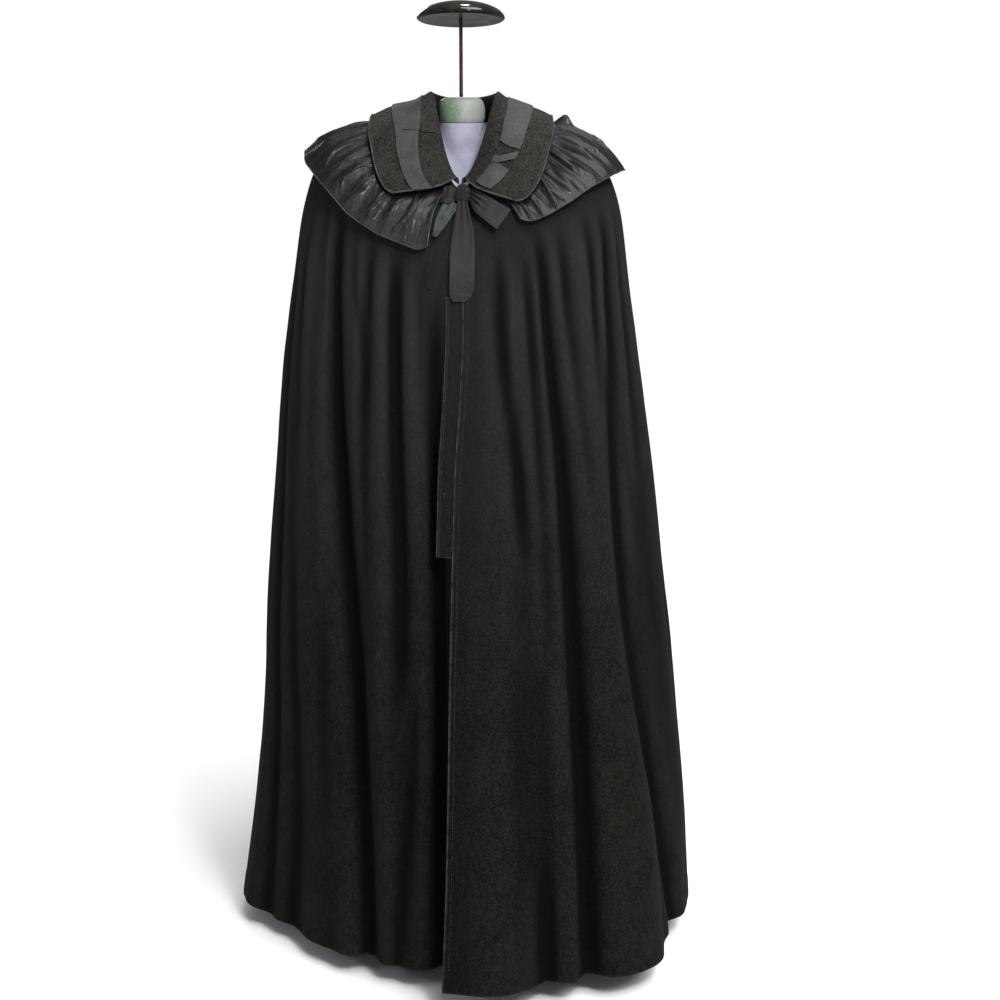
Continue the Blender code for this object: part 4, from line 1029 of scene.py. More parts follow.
def piping_tree():
    """A round cord along each path: piping, rolled edges and bent wire."""
    tree, given, made = shape_tree("piping", (
        ("Radius", "NodeSocketFloat"), ("Step", "NodeSocketFloat"), ("Sides", "NodeSocketInt"),
        ("Material", "NodeSocketMaterial")))
    line = place(tree, "GeometryNodeMeshToCurve", {}, {0: given["Path"]}).outputs[0]
    even = place(tree, "GeometryNodeResampleCurve", {"mode": "LENGTH"},
                 {"Curve": line, "Length": given["Step"]}).outputs[0]
    profile = place(tree, "GeometryNodeCurvePrimitiveCircle", {"mode": "RADIUS"},
                    {"Resolution": given["Sides"], "Radius": given["Radius"]}).outputs[0]
    tube = place(tree, "GeometryNodeCurveToMesh", {},
                 {"Curve": even, "Profile Curve": profile, "Fill Caps": True}).outputs[0]
    finish_tree(tree, tube, given["Material"], made)
    return tree


def stitch_tree():
    """A row of sunk stitches along each path."""
    tree, given, made = shape_tree("stitches", (
        ("Stitch", "NodeSocketFloat"), ("Gap", "NodeSocketFloat"), ("Thread", "NodeSocketFloat"),
        ("Seed", "NodeSocketInt"), ("Material", "NodeSocketMaterial")))
    line = place(tree, "GeometryNodeMeshToCurve", {}, {0: given["Path"]}).outputs[0]
    pitch = maths(tree, "ADD", given["Stitch"], given["Gap"])
    points = place(tree, "GeometryNodeCurveToPoints", {"mode": "LENGTH"},
                   {"Curve": line, "Length": pitch}).outputs
    bead = place(tree, "GeometryNodeMeshUVSphere", {},
                 {"Segments": 6, "Rings": 4, "Radius": 0.5}).outputs[0]
    size = place(tree, "ShaderNodeCombineXYZ", {},
                 {0: maths(tree, "MULTIPLY", given["Thread"], 2.0),
                  1: maths(tree, "MULTIPLY", given["Thread"], 2.0),
                  2: given["Stitch"]}).outputs[0]
    uneven = place(tree, "FunctionNodeRandomValue", {"data_type": "FLOAT"},
                   {2: 0.88, 3: 1.08, "Seed": given["Seed"]}).outputs[1]
    scale = place(tree, "ShaderNodeVectorMath", {"operation": "SCALE"},
                  {0: size, "Scale": uneven}).outputs[0]
    row = place(tree, "GeometryNodeInstanceOnPoints", {},
                {"Points": points["Points"], "Instance": bead, "Rotation": points["Rotation"],
                 "Scale": scale}).outputs[0]
    finish_tree(tree, row, given["Material"], made)
    return tree


PIPING = piping_tree()
STITCHES = stitch_tree()


def grow(name, paths, tree, **values):
    """Runs a shape tree over paths of points and keeps the result as a plain mesh."""
    points = [tuple(point) for path in paths for point in np.asarray(path, float)]
    edges = []
    first = 0
    for path in paths:
        edges += [(first + i, first + i + 1) for i in range(len(path) - 1)]
        first += len(path)
    mesh = bpy.data.meshes.new(name + "_path")
    mesh.from_pydata(points, edges, [])
    made = bpy.data.objects.new(name, mesh)
    bpy.context.scene.collection.objects.link(made)
    modifier = made.modifiers.new("shape", "NODES")
    modifier.node_group = tree
    for socket in tree.interface.items_tree:
        if socket.item_type == "SOCKET" and socket.in_out == "INPUT" and socket.name in values:
            modifier[socket.identifier] = values[socket.name]
    depsgraph = bpy.context.evaluated_depsgraph_get()
    shape = bpy.data.meshes.new_from_object(made.evaluated_get(depsgraph), depsgraph=depsgraph)
    made.modifiers.remove(modifier)
    made.data = shape
    shape.name = name
    return made


def pipe(name, paths, radius, finish, sides=10):
    return grow(name, paths, PIPING, Radius=radius, Step=max(0.0035, 2.2 * radius), Sides=sides,
                Material=MATERIALS[finish])


def stitch(name, paths, length=0.0030, gap=0.0016, thread=0.00026, seed=1):
    return grow(name, paths, STITCHES, Stitch=length, Gap=gap, Thread=thread, Seed=seed,
                Material=MATERIALS["thread"])


# ---------------------------------------------------------------- the cloak
FRONT_ROWS = 225
FRONT_COLUMNS = 150
BACK_ROWS = 205
BACK_COLUMNS = 215
HEM_DEPTH = 0.038
HEM_STEP = 0.004
HEM_RISE = 0.0007
EDGE_STITCH = 0.0085
COLLAR_FOOT_ROWS = 5
COLLAR_LEAF_ROWS = 54
COLLAR_ACROSS = 300
COLLAR_STITCH = 0.0052
LEAF_SWELL = 0.0016
LEAF_GRAIN = 0.0005
LEAF_SWELL_SHARES = (0.10, 0.40)
LEAF_END_CALM = 0.03


def front_angles(piece, reach):
    """Columns of a front, drawn along its main fold."""
    seam = 90.0 - np.degrees(SIDE_SEAM / section("half_left", reach))
    edge = front_edge(piece, reach)
    first, last = (-seam, edge) if piece == "right" else (edge, seam)
    followed = fold_angle(FOLD_ROWS[MAIN_FOLDS[piece]], reach)
    part = np.linspace(0.0, 1.0, FRONT_COLUMNS)
    knots = (0.0, MAIN_FOLD_SHARE[piece], 1.0)
    return np.stack([curve_through(knots, line, part) for line in zip(first, followed, last)])


def hem_turn(reach):
    """Slight rise of the cloth where its hem is turned up inside."""
    turn = HEM_REACH - HEM_DEPTH
    return HEM_RISE * ease(turn - HEM_STEP, turn + HEM_STEP, reach)


def front_grid(piece):
    reach = np.linspace(0.0, HEM_REACH, FRONT_ROWS)
    angle = front_angles(piece, reach)
    reach = reach[:, None]
    return cloth_point(angle, reach, piece, overlap_lift(angle, reach, piece) + hem_turn(reach))


def back_grid():
    reach = np.linspace(0.0, HEM_REACH, BACK_ROWS)[:, None]
    angle = np.linspace(90.0, 270.0, BACK_COLUMNS)[None, :]
    return cloth_point(angle, reach, "back", hem_turn(reach))


def beside_edge(reach, inset):
    """Angle beside the left front's edge, so many metres in from it."""
    return front_edge("left", reach) + np.degrees(inset / section("half_left", reach))


def strip_grid():
    reach = np.linspace(*STRIP_ENDS, 110)[:, None]
    part = np.linspace(0.0, 1.0, 14)[None, :]
    angle = beside_edge(reach, blend(-STRIP_WIDTH, STRIP_HIDDEN, part))
    return cloth_point(angle, reach, "left", overlap_lift(angle, reach, "left") - WOOL - SEAM_GAP)


def left_edge_path(inset, out, start, end, count=300):
    reach = np.linspace(start, end, count)
    angle = beside_edge(reach, inset)
    return cloth_point(angle, reach, "left", overlap_lift(angle, reach, "left") + out)


def leaf_swell(angle, share):
    """Slow rise and fall of the leaves, which the bands and the painted crease line on them follow.
    """
    return soft_noise(angle / 9.0 + 30, share * 3.0, 11) * LEAF_SWELL


def collar_place(part, share, rise=None, out=0.0):
    """Point of the collar at a part of its length and a share of its leaf."""
    first, last = collar_ends(share * COLLAR_FRONT_REACH)
    part = part - 0.05 * np.sin(4 * np.pi * part)
    angle = blend(first, last, part)
    from_end = np.minimum(part, 1 - part) * (last - first)
    corner = np.maximum(0.0, 1 - from_end / CORNER_DEGREES) ** 2
    reach = share * (collar_edge(angle) - corner * COLLAR_CORNER * ease(0.6, 1.0, share))
    uneven = leaf_swell(angle, share) + soft_noise(angle / 3.6 + 30, share * 5.0, 12) * LEAF_GRAIN
    uneven = uneven * ease(*LEAF_SWELL_SHARES, share)
    uneven = uneven * ease(0.0, LEAF_END_CALM, np.minimum(part, 1 - part))
    return collar_point(angle, reach, rise, uneven + out)


def collar_grid():
    part = np.linspace(0.0, 1.0, COLLAR_ACROSS)[None, :]
    foot = [collar_place(part, np.zeros(part.shape), np.full(part.shape, rise))
            for rise in np.linspace(0.0, 0.5, COLLAR_FOOT_ROWS)[:-1]]
    t = np.linspace(0.0, 1.0, COLLAR_LEAF_ROWS)
    leaf = [collar_place(part, np.full(part.shape, share)) for share in t ** 1.5]
    return np.concatenate(foot + leaf)


OUTLINE_LENGTH = 1.30
OUTLINE_DEPTH = 0.125
OUTLINE_ENDS = 1.6
OUTLINE_TOP = 0.16


def collar_outline(inset, out):
    """Path down one end, round both leaves' edge and up the other end, set in by inset."""
    along = inset / OUTLINE_LENGTH * OUTLINE_ENDS
    low = 1 - inset / OUTLINE_DEPTH
    down = np.linspace(OUTLINE_TOP, low, 40)
    across = np.linspace(along, 1 - along, 400)
    part = np.concatenate([np.full(len(down), along), across, np.full(len(down), 1 - along)])
    share = np.concatenate([down, np.full(len(across), low), down[::-1]])
    return collar_place(part, share, None, out)


SHADOW_LINE_ON_BAND = (0.0355, 0.0385)
SHADOW_LINE_HEIGHTS = (0.0003, 0.0025)
# A small fold of the left band that lies on its turned end.
BAND_FOLD = {"node": "band_left_fold", "side": "left", "start": 36.8, "start_outer": 46.6,
             "end_inner": 32.7, "end_outer": 42.3, "gap": 0.0024}
BAND_LIFT = 0.0004
BAND_RIPPLE = 0.0003
# A near-black line across the right leaf, from beside the roll to three quarters across the
# band, painted as the shadow of a crease: angles and reaches.
SHADOW_LINE_ANGLES = (317.8, 314.0, 309.5, 306.6, 302.6)
SHADOW_LINE_REACHES = (0.0142, 0.0268, 0.0370, 0.0443, 0.0598)


def collar_shadow_line():
    """Path of the near-black line sunk over the leaf and the band on it, a painted crease shadow.
    """
    reach = np.linspace(SHADOW_LINE_REACHES[0], SHADOW_LINE_REACHES[-1], 60)
    angle = curve_through(SHADOW_LINE_REACHES, SHADOW_LINE_ANGLES, reach)
    share = reach / collar_edge(angle)
    uneven = leaf_swell(angle, share) * ease(*LEAF_SWELL_SHARES, share)
    on_band = ease(*SHADOW_LINE_ON_BAND, reach)
    return collar_point(angle, reach, None, uneven + blend(*SHADOW_LINE_HEIGHTS, on_band))


def band_place(band, along, across, out=0.0):
    """Point of a band at a part of its length and of its width."""
    start = blend(band["start"], band.get("start_outer", band["start"]), across)
    end = blend(band["end_inner"], band["end_outer"], across)
    angle = blend(start, end, along)
    inner = curve_through(BAND_ANGLES, BAND_INNER[band["side"]], np.abs(wrapped(angle)))
    reach = inner + BAND_WIDTH * across
    share = reach / collar_edge(angle)
    uneven = BAND_RIPPLE * np.sin(angle * 0.45 + across * 3.0) + leaf_swell(angle, share)
    uneven = uneven * ease(*LEAF_SWELL_SHARES, share)
    return collar_point(angle, reach, None, RIBBON + band["gap"] + BAND_LIFT + uneven + out)


def band_grid(band):
    along = np.linspace(0.0, 1.0, 420)[None, :]
    if band["start"] > band["end_inner"]:
        along = along[:, ::-1]
    return band_place(band, along, np.linspace(0.0, 1.0, 16)[:, None])


# ---------------------------------------------------------------- the flounce
FLOUNCE_ROW_COUNT = 36
FLOUNCE_COLUMN_COUNT = 1300
RIDGE_SEED = 41
RIDGE_COUNT = 110
RIDGE_HEIGHT = 0.0030
# What is drawn by chance for each ridge, in this order: its place between its neighbours, its
# height, its half width in degrees, the shares where it starts and ends, and its slant.
RIDGE_RANGES = {"place": (0.1, 0.9), "height": (0.25, 1.0), "width": (0.50, 1.10),
                "start": (0.10, 0.34), "end": (0.60, 1.08), "slant": (-4.0, 4.0)}
RIDGE_FADES = (0.12, 0.30)
RIDGE_SPREAD = (0.8, 1.6)
DRAWN_FADE = 0.14
# The folds that show most, a row each: the angle at the fold's start, middle and end, the shares
# of the flounce's depth where it starts and ends, its height and its half width in degrees.
DRAWN_COLUMNS = ("first", "middle", "last", "start", "end", "height", "width")
DRAWN_ROWS = (
    (295.5, 292.6, 296.6, 0.12, 0.90, 0.0042, 0.55),
    (306.0, 302.0, 297.0, 0.24, 0.88, 0.0032, 0.42),
    (311.0, 306.4, 298.6, 0.18, 0.90, 0.0036, 0.45),
    (308.2, 306.9, 310.4, 0.44, 0.92, 0.0032, 0.42),
    (316.4, 315.3, 312.2, 0.44, 0.94, 0.0036, 0.45),
    (325.4, 323.4, 318.0, 0.28, 0.95, 0.0040, 0.50),
    (325.2, 325.5, 324.4, 0.48, 0.90, 0.0026, 0.40),
    (334.0, 336.4, 333.8, 0.04, 0.96, 0.0046, 0.50),
    (334.4, 337.6, 341.6, 0.66, 0.86, 0.0036, 0.40),
    (341.0, 338.6, 336.4, 0.84, 1.02, 0.0032, 0.40),
    (286.0, 284.5, 283.0, 0.10, 0.80, 0.0034, 0.55),
    (276.0, 277.5, 275.0, 0.14, 0.92, 0.0036, 0.60),
    (91.0, 84.0, 92.0, 0.40, 0.86, 0.0034, 0.55),
    (71.0, 68.8, 78.0, 0.22, 0.78, 0.0040, 0.55),
    (58.6, 56.6, 56.4, 0.14, 0.74, 0.0042, 0.50),
    (58.5, 59.2, 61.0, 0.50, 0.86, 0.0030, 0.42),
    (47.6, 47.8, 48.6, 0.16, 0.90, 0.0044, 0.65),
    (44.6, 41.6, 40.2, 0.12, 1.02, 0.0040, 0.50),
    (42.0, 42.8, 45.6, 0.56, 1.00, 0.0028, 0.42),
    (51.6, 51.7, 52.4, 0.68, 1.02, 0.0030, 0.45),
    (33.6, 34.1, 34.1, 0.36, 1.02, 0.0038, 0.45),
    (30.6, 29.9, 29.7, 0.36, 1.02, 0.0036, 0.40),
    (64.0, 65.0, 67.0, 0.20, 0.80, -0.0036, 1.20),
    (39.6, 38.4, 38.6, 0.16, 0.96, -0.0030, 0.90),
)


def flounce_ridges(angle, share):
    """Uneven gathers: narrow ridges that start under the collar and die out towards the hem."""
    chance = np.random.default_rng(RIDGE_SEED)
    first, last = FLOUNCE["angle"][0], FLOUNCE["angle"][-1]
    total = np.zeros(np.broadcast(angle, share).shape)
    for i in range(RIDGE_COUNT):
        ridge = {name: chance.uniform(*ends) for name, ends in RIDGE_RANGES.items()}
        middle = blend(first, last, (i + ridge["place"]) / RIDGE_COUNT)
        height = RIDGE_HEIGHT * ridge["height"] ** 2
        width = ridge["width"] * blend(*RIDGE_SPREAD, share)
        across = (angle - middle - ridge["slant"] * (share - 0.3)) / width
        along = ease(ridge["start"], ridge["start"] + RIDGE_FADES[0], share)
        along = along * (1 - ease(ridge["end"] - RIDGE_FADES[1], ridge["end"], share))
        total += height * along * np.exp(-np.abs(across) ** 1.5)
    for row in DRAWN_ROWS:
        fold = dict(zip(DRAWN_COLUMNS, row))
        shares = (fold["start"], (fold["start"] + fold["end"]) / 2, fold["end"])
        line = curve_through(shares, (fold["first"], fold["middle"], fold["last"]), share)
        along = ease(fold["start"], fold["start"] + DRAWN_FADE, share)
        along = along * (1 - ease(fold["end"] - DRAWN_FADE, fold["end"], share))
        across = np.abs(angle - line) / fold["width"]
        total += fold["height"] * along * np.exp(-across ** 1.3)
    return total


# The kinds of noise in the flounce's waves: steps a gather, shift and slant along it, steps and
# shift across its depth, and seed.
FLOUNCE_NOISE_COLUMNS = ("along", "shift", "slant", "across", "start", "seed")
FLOUNCE_NOISE_ROWS = {
    "drift": (0.7, 0, 0.0, 2.0, 0, 21),
    "size": (1.3, 9, 0.0, 0.8, 0, 25),
    "pinch": (2.6, 0, 0.0, 1.6, 5, 22),
    "crumple": (3.4, 0, 3.0, 6.0, 0, 23),
    "wrinkle": (9.0, 0, -6.0, 11.0, 0, 26),
    "hem": (0.8, 0, 0.0, 0.0, 2, 24),
}
FLOUNCE_CALM = (0.62, 0.22)
FLOUNCE_CALM_SHARES = (0.45, 1.0)
FLOUNCE_HEM_WAVE = 0.0030
FLOUNCE_END_CALM = 5.0


def flounce_noise(kind, turn, share):
    made = dict(zip(FLOUNCE_NOISE_COLUMNS, FLOUNCE_NOISE_ROWS[kind]))
    return soft_noise(turn * made["along"] + made["shift"] + share * made["slant"],
                      share * made["across"] + made["start"], made["seed"])


def flounce_place(angle, share, out=0.0):
    """Point of the flounce. The angles are those of its gathered edge."""
    first, last = FLOUNCE["angle"][0], FLOUNCE["angle"][-1]
    from_end = np.minimum(angle - first, last - angle)
    corner = np.maximum(0.0, 1 - from_end / FLOUNCE_CORNER_DEGREES) ** 2
    angle = angle + FLOUNCE_END_SLANT * share * (angle - first) / (last - first)
    turn = FLOUNCE_GATHERS * (angle - first) / (last - first)
    inner = curve_through(FLOUNCE["angle"], FLOUNCE["inner"], angle)
    outer = curve_through(FLOUNCE["angle"], FLOUNCE["outer"], angle)
    stand = curve_through(ACROSS["share"], ACROSS["stand"], share)
    swing = curve_through(ACROSS["share"], ACROSS["wave"], share)
    bunch = curve_through(ACROSS["share"], ACROSS["bunch"], share)

    # The rounded top of each gather, its uneven size, and the smaller waves on it.
    phase = 2 * np.pi * turn + 0.5 * np.sin(0.9 * turn) + 0.9 * flounce_noise("drift", turn, share)
    puff = 2 * ((np.sin(phase) + 1) / 2) ** 0.65 - 1
    size = 0.66 + 0.34 * flounce_noise("size", turn, share)
    pinch = flounce_noise("pinch", turn, share) * blend(0.8, 0.35, share)
    crumple = flounce_noise("crumple", turn, share) * 0.15
    crumple = crumple + flounce_noise("wrinkle", turn, share) * 0.06
    calm = blend(*FLOUNCE_CALM, ease(*FLOUNCE_CALM_SHARES, share))

    # How far it stands off: its slope, the bunch on the shoulder, the gathers and the ridges.
    away = curve_through(FLOUNCE["angle"], FLOUNCE["stand_off"], angle) * stand
    near = np.exp(-((angle - BUNCH_ANGLE) / BUNCH_WIDTH) ** 2)
    away = away + BUNCH_HEIGHT * bunch * near
    away = away + FLOUNCE_WAVE * swing * (calm * (size * puff + 0.5 * pinch) + crumple)
    away = away + flounce_ridges(angle, share) * (0.5 + 0.5 * size)

    # Its lean to the side, its uneven hem and its rounded corners.
    lean = 0.8 * np.cos(phase) * swing * calm
    ends = ease(0.0, FLOUNCE_END_CALM, from_end)
    outer = outer + FLOUNCE_HEM_WAVE * flounce_noise("hem", turn, share) * ends
    outer = outer - FLOUNCE_CORNER * corner
    reach = blend(inner, outer, share)
    return cloth_point(angle + lean * ends, reach, "back", SATIN + FLOUNCE_SEAT + away + out)


def flounce_grid():
    first, last = FLOUNCE["angle"][0], FLOUNCE["angle"][-1]
    part = np.linspace(0.0, 1.0, FLOUNCE_COLUMN_COUNT)[None, :]
    angle = blend(first, last, part - 0.06 * np.sin(2 * np.pi * part))
    return flounce_place(angle, np.linspace(0.0, 1.0, FLOUNCE_ROW_COUNT)[:, None])


# ---------------------------------------------------------------- the ribbon tie
# Pleats at the knot: their depth, their number, and the ribbon's end there, 0 first or 1 last.
RIBBON_PLEATS = {"bow_loop": (0.0016, 3.0, 1.0), "bow_tail_short": (0.0010, 2.5, 0.0),
                 "bow_ribbon": (0.0022, 3.5, 0.0), "bow_tail_hanging": (0.0012, 2.5, 0.0),
                 "bow_tail_side": (0.0004, 1.0, 0.0)}
RIBBON_STEPS = 60
RIBBON_STEPS_ACROSS = 22
RIBBON_CREASE = 0.0012
RIBBON_LEAST_OUT = 0.0006


def ribbon_grid(name):
    """Ribbon through its table's rows, pleated where it enters the knot."""
    path = RIBBONS[name]
    steps = np.arange(len(path))
    at = np.linspace(0.0, len(path) - 1, RIBBON_STEPS)[:, None]
    line = {key: curve_through(steps, [row[i] for row in path], at)
            for i, key in enumerate(RIBBON_COLUMNS)}
    across = np.linspace(-0.5, 0.5, RIBBON_STEPS_ACROSS)[None, :]
    depth, pleats, knot_end = RIBBON_PLEATS[name]
    far = np.abs(at / (len(path) - 1) - knot_end)
    close = 1 - ease(0.0, 0.75, far)
    out = line["out"] + depth * close * np.cos(2 * np.pi * pleats * across + 0.8)
    out = out + RIBBON_CREASE * soft_noise(at * 2.2, across * 2.0 + 7, 31) * ease(0.1, 0.4, far)
    out = np.maximum(out, RIBBON_LEAST_OUT)
    slant = np.radians(line["slant"])
    piece = "right" if name in RIBBON_ON_RIGHT else "left"
    beside = line["width"] * across
    return front_point(line["x"] + np.cos(slant) * beside,
                       line["height"] + np.sin(slant) * beside, out, piece)


def knot_grid():
    """Wrap of ribbon round the knot, drawn into folds, open where it closes behind."""
    centre = front_point(KNOT_X, KNOT_HEIGHT, KNOT_OUT)
    polar = np.pi * np.linspace(0.06, 0.94, 36)[:, None]
    turn = np.linspace(-250.0, 70.0, 90)[None, :]
    a = np.radians(turn)
    lobes = 1 - 0.07 * np.cos(3 * a) + 0.05 * np.cos(11 * a + 1.3 * np.cos(polar))
    waist = 1 - 0.10 * np.exp(-(np.cos(polar) / 0.25) ** 2)
    spread = np.sin(polar) * lobes * waist
    return centre + np.stack([KNOT_HALF_WIDTH * spread * np.cos(a),
                              KNOT_HALF_DEPTH * spread * np.sin(a),
                              KNOT_HALF_HEIGHT * np.cos(polar) + 0 * a], -1)


# ---------------------------------------------------------------- the dress form
FORM_SIDES = 96
# How far the neck has drawn in from its seat to its top, by the share of the way up.
NECK_UP = (0.0, 0.25, 0.55, 1.0)
NECK_INWARD = (0.0, 0.60, 0.90, 1.0)
DISC_RADIUS = 0.0745
DISC_RIM = 1.6130
DISC_TOP = 1.6420
PIN_PLACE = (0.0440, -0.010)
ROD_RADIUS = 0.0032
POLE_RADIUS = 0.0175
POLE_ENDS = (0.0184, 0.6996)
BASE_RADIUS = 0.170
BASE_THICKNESS = 0.018


def neck_seat(out):
    a = 2 * np.pi * np.arange(FORM_SIDES) / FORM_SIDES
    front = np.cos(a)
    height = np.where(front > 0, NECK_SEAT["front_height"], NECK_SEAT["back_height"])
    depth = np.where(front > 0, NECK_SEAT["depth_front"], NECK_SEAT["depth_back"])
    height = blend(NECK_SEAT["side_height"], height, front * front)
    return np.stack([NECK_SEAT["half_width"] * np.sin(a), -depth * front, height + out], -1)


def neck_ring(spread, middle):
    a = 2 * np.pi * np.arange(FORM_SIDES) / FORM_SIDES
    y = -NECK_HALF_DEPTH * spread * np.cos(a)
    return np.stack([NECK_HALF_WIDTH * spread * np.sin(a), y, middle + NECK_SLANT * y], -1)


def make_neck():
    foot = neck_seat(SEAM_GAP)
    top = neck_ring(1.0, NECK_TOP)
    rings = []
    for up in np.linspace(0.0, 1.0, 22):
        inward = float(curve_through(NECK_UP, NECK_INWARD, up))
        ring = blend(foot, top, inward)
        ring[:, 2] = blend(foot[:, 2], top[:, 2], up)
        rings.append(ring)
    rings[-1] = neck_ring(0.985, NECK_TOP)
    rings.insert(-1, neck_ring(1.0, NECK_TOP - 0.0012))
    return make_loft("form_neck_cover", rings, MATERIALS["form_cloth"])


def make_cap():
    outline = ((0.985, NECK_TOP + SEAM_GAP), (1.000, NECK_TOP + 0.0012),
               (1.012, NECK_TOP + 0.006), (1.016, NECK_TOP + 0.012),
               (1.012, CAP_TOP - 0.0210), (0.998, CAP_TOP - 0.0160), (0.970, CAP_TOP - 0.0110),
               (0.925, CAP_TOP - 0.0068), (0.860, CAP_TOP - 0.0035),
               (0.780, CAP_TOP - 0.0014), (0.680, CAP_TOP - 0.0003), (0.500, CAP_TOP))
    rings = [neck_ring(spread, height) for spread, height in outline]
    return make_loft("neck_cap_block", rings, MATERIALS["cap_paint"], 60.0)


def make_pin():
    profile = ((0.0018, 1.4430), (0.0026, 1.4434), (0.0030, 1.4446), (0.0027, 1.4456),
               (0.0016, 1.4462))
    return make_turned("neck_pin_head", profile, MATERIALS["cap_paint"], 20, PIN_PLACE)


def make_rod():
    foot = CAP_TOP + NECK_SLANT * ROD_RADIUS + SEAM_GAP
    head = DISC_RIM + 0.003 - SEAM_GAP
    profile = [(ROD_RADIUS * 0.88, foot), (ROD_RADIUS, foot + 0.0006),
               (ROD_RADIUS, foot + 0.0060), (ROD_RADIUS * 0.96, foot + 0.0075)]
    profile += [(ROD_RADIUS * 0.96, head - 0.0090), (ROD_RADIUS, head - 0.0075),
                (ROD_RADIUS, head - 0.0006), (ROD_RADIUS * 0.88, head)]
    return make_turned("hat_rod_tube", profile, MATERIALS["rod_metal"], 28)


def make_disc():
    corners = ((0.0040, DISC_RIM + 0.0030, 0), (0.052, DISC_RIM + 0.0022, 0.004),
               (DISC_RADIUS - 0.004, DISC_RIM, 0.0016), (DISC_RADIUS, DISC_RIM + 0.0030, 0.0016),
               (DISC_RADIUS * 0.985, DISC_RIM + 0.0075, 0.002),
               (DISC_RADIUS * 0.90, DISC_RIM + 0.0148, 0.006),
               (DISC_RADIUS * 0.66, DISC_RIM + 0.0232, 0.012),
               (DISC_RADIUS * 0.30, DISC_TOP - 0.0004, 0.010), (0.004, DISC_TOP, 0))
    return make_turned("hat_disc_dome", rounded_profile(corners), MATERIALS["disc_paint"], 128)


def make_stand():
    low, high = POLE_ENDS
    pole = [(POLE_RADIUS * 0.96, low), (POLE_RADIUS, low + 0.0010), (POLE_RADIUS, low + 0.020),
            (POLE_RADIUS * 0.93, low + 0.0215), (POLE_RADIUS * 0.93, high - 0.0415),
            (POLE_RADIUS, high - 0.040), (POLE_RADIUS, high - 0.0010), (POLE_RADIUS * 0.96, high)]
    corners = ((0.150, 0.0, 0), (BASE_RADIUS, 0.0, 0.0012), (BASE_RADIUS, 0.0108, 0.003),
               (BASE_RADIUS * 0.95, 0.0158, 0.006), (0.060, 0.0168, 0.010),
               (0.034, BASE_THICKNESS, 0.003), (0.012, BASE_THICKNESS, 0))
    return (make_turned("pole_tube", pole, MATERIALS["stand_paint"], 48),
            make_turned("base_plate", rounded_profile(corners), MATERIALS["stand_paint"], 128))


# ---------------------------------------------------------------- making every piece
# The cloth pieces: name, node, wall, finish, flat width, length and area of the cut, how it is
# held, and what it rests on.
CUT_COLUMNS = ("name", "node", "wall", "finish", "width", "length", "area", "held", "rests_on")
CUT_ROWS = (
    ("front_right_panel", "front_right", WOOL, "wool", 0.606, 1.573, 0.684, "draped",
     "form_torso"),
    ("front_left_panel", "front_left", WOOL, "wool", 0.724, 1.557, 0.731, "draped",
     "form_torso"),
    ("back_panel", "back", WOOL, "wool", 1.306, 1.573, 1.402, "draped", "form_torso"),
    ("fly_strip_facing", "fly_strip", 0.0015, "wool", 0.040, 0.426, 0.0167, "draped",
     "front_right_panel"),
    ("collar_leaves", "collar", COLLAR_WOOL, "collar_wool", 0.884, 0.167, 0.0935, "folded",
     "flounce"),
    ("flounce", "ruffle", SATIN, "satin", 1.390, 0.190, 0.153, "gathered", "back_panel"),
    ("band_right", "ribbon_right", RIBBON, "grosgrain", 0.392, 0.0545, 0.0155, "laid",
     "collar_leaves"),
    ("band_left", "ribbon_left", RIBBON, "grosgrain", 0.318, 0.045, 0.0119, "laid",
     "collar_leaves"),
    ("band_left_end", "ribbon_left_end", RIBBON, "grosgrain", 0.050, 0.036, 0.0015, "folded",
     "collar_leaves"),
    ("band_left_fold", None, RIBBON, "grosgrain", 0.0155, 0.0425, 0.00048, "folded",
     "band_left_end"),
    ("knot_wrap", "bow_knot", RIBBON, "ribbon", 0.058, 0.044, 0.00175, "folded",
     "front_left_panel"),
    ("tie_loop", "bow_loop", RIBBON, "ribbon", 0.039, 0.026, 0.00084, "folded", "knot_wrap"),
    ("tie_tail_short", "bow_tail_short", RIBBON, "ribbon", 0.029, 0.074, 0.00146, "hung",
     "front_left_panel"),
    ("tie_ribbon", "bow_ribbon", RIBBON, "ribbon", 0.043, 0.080, 0.00276, "hung", "knot_wrap"),
    ("tie_tail_hanging", "bow_tail_hanging", RIBBON, "ribbon", 0.041, 0.173, 0.00587, "hung",
     "front_left_panel"),
    ("tie_tail_side", "bow_tail_side", RIBBON, "ribbon", 0.015, 0.054, 0.00062, "hung",
     "front_right_panel"),
)
BANDS = {row[0]: dict(zip(BAND_COLUMNS, row)) for row in BAND_ROWS}


def grid_of(name, node):
    """Outer points of a cloth piece."""
    plain = {"front_right_panel": lambda: front_grid("right"),
             "front_left_panel": lambda: front_grid("left"), "back_panel": back_grid,
             "fly_strip_facing": strip_grid, "collar_leaves": collar_grid,
             "flounce": flounce_grid, "knot_wrap": knot_grid,
             "band_left_fold": lambda: band_grid(BAND_FOLD)}
    if name in plain:
        return plain[name]()
    if node in BANDS:
        return band_grid(BANDS[node])
    return ribbon_grid(node)


def finish_piece(piece, node=None):
    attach(piece, "root")
    if node:
        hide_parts(node)


# The trims: radii of cords and rolls, and how far rows of stitches lie from an edge.
PIPING_RADIUS = 0.0013
HEM_CORD_RADIUS = 0.0012
END_HEM_RADIUS = 0.0008
END_HEM_DEGREES = (0.4, 4.6)
END_HEM_SHARES = (0.34, 0.995)
FLOUNCE_STITCH_SHARE = 0.955
BAND_STITCH_SHARES = (0.055, 0.945)
FRONT_ROLL_RADIUS = 0.00115
STRIP_ROLL_RADIUS = 0.00090
STRIP_STITCH = 0.0042
ON_FACE = 0.0001


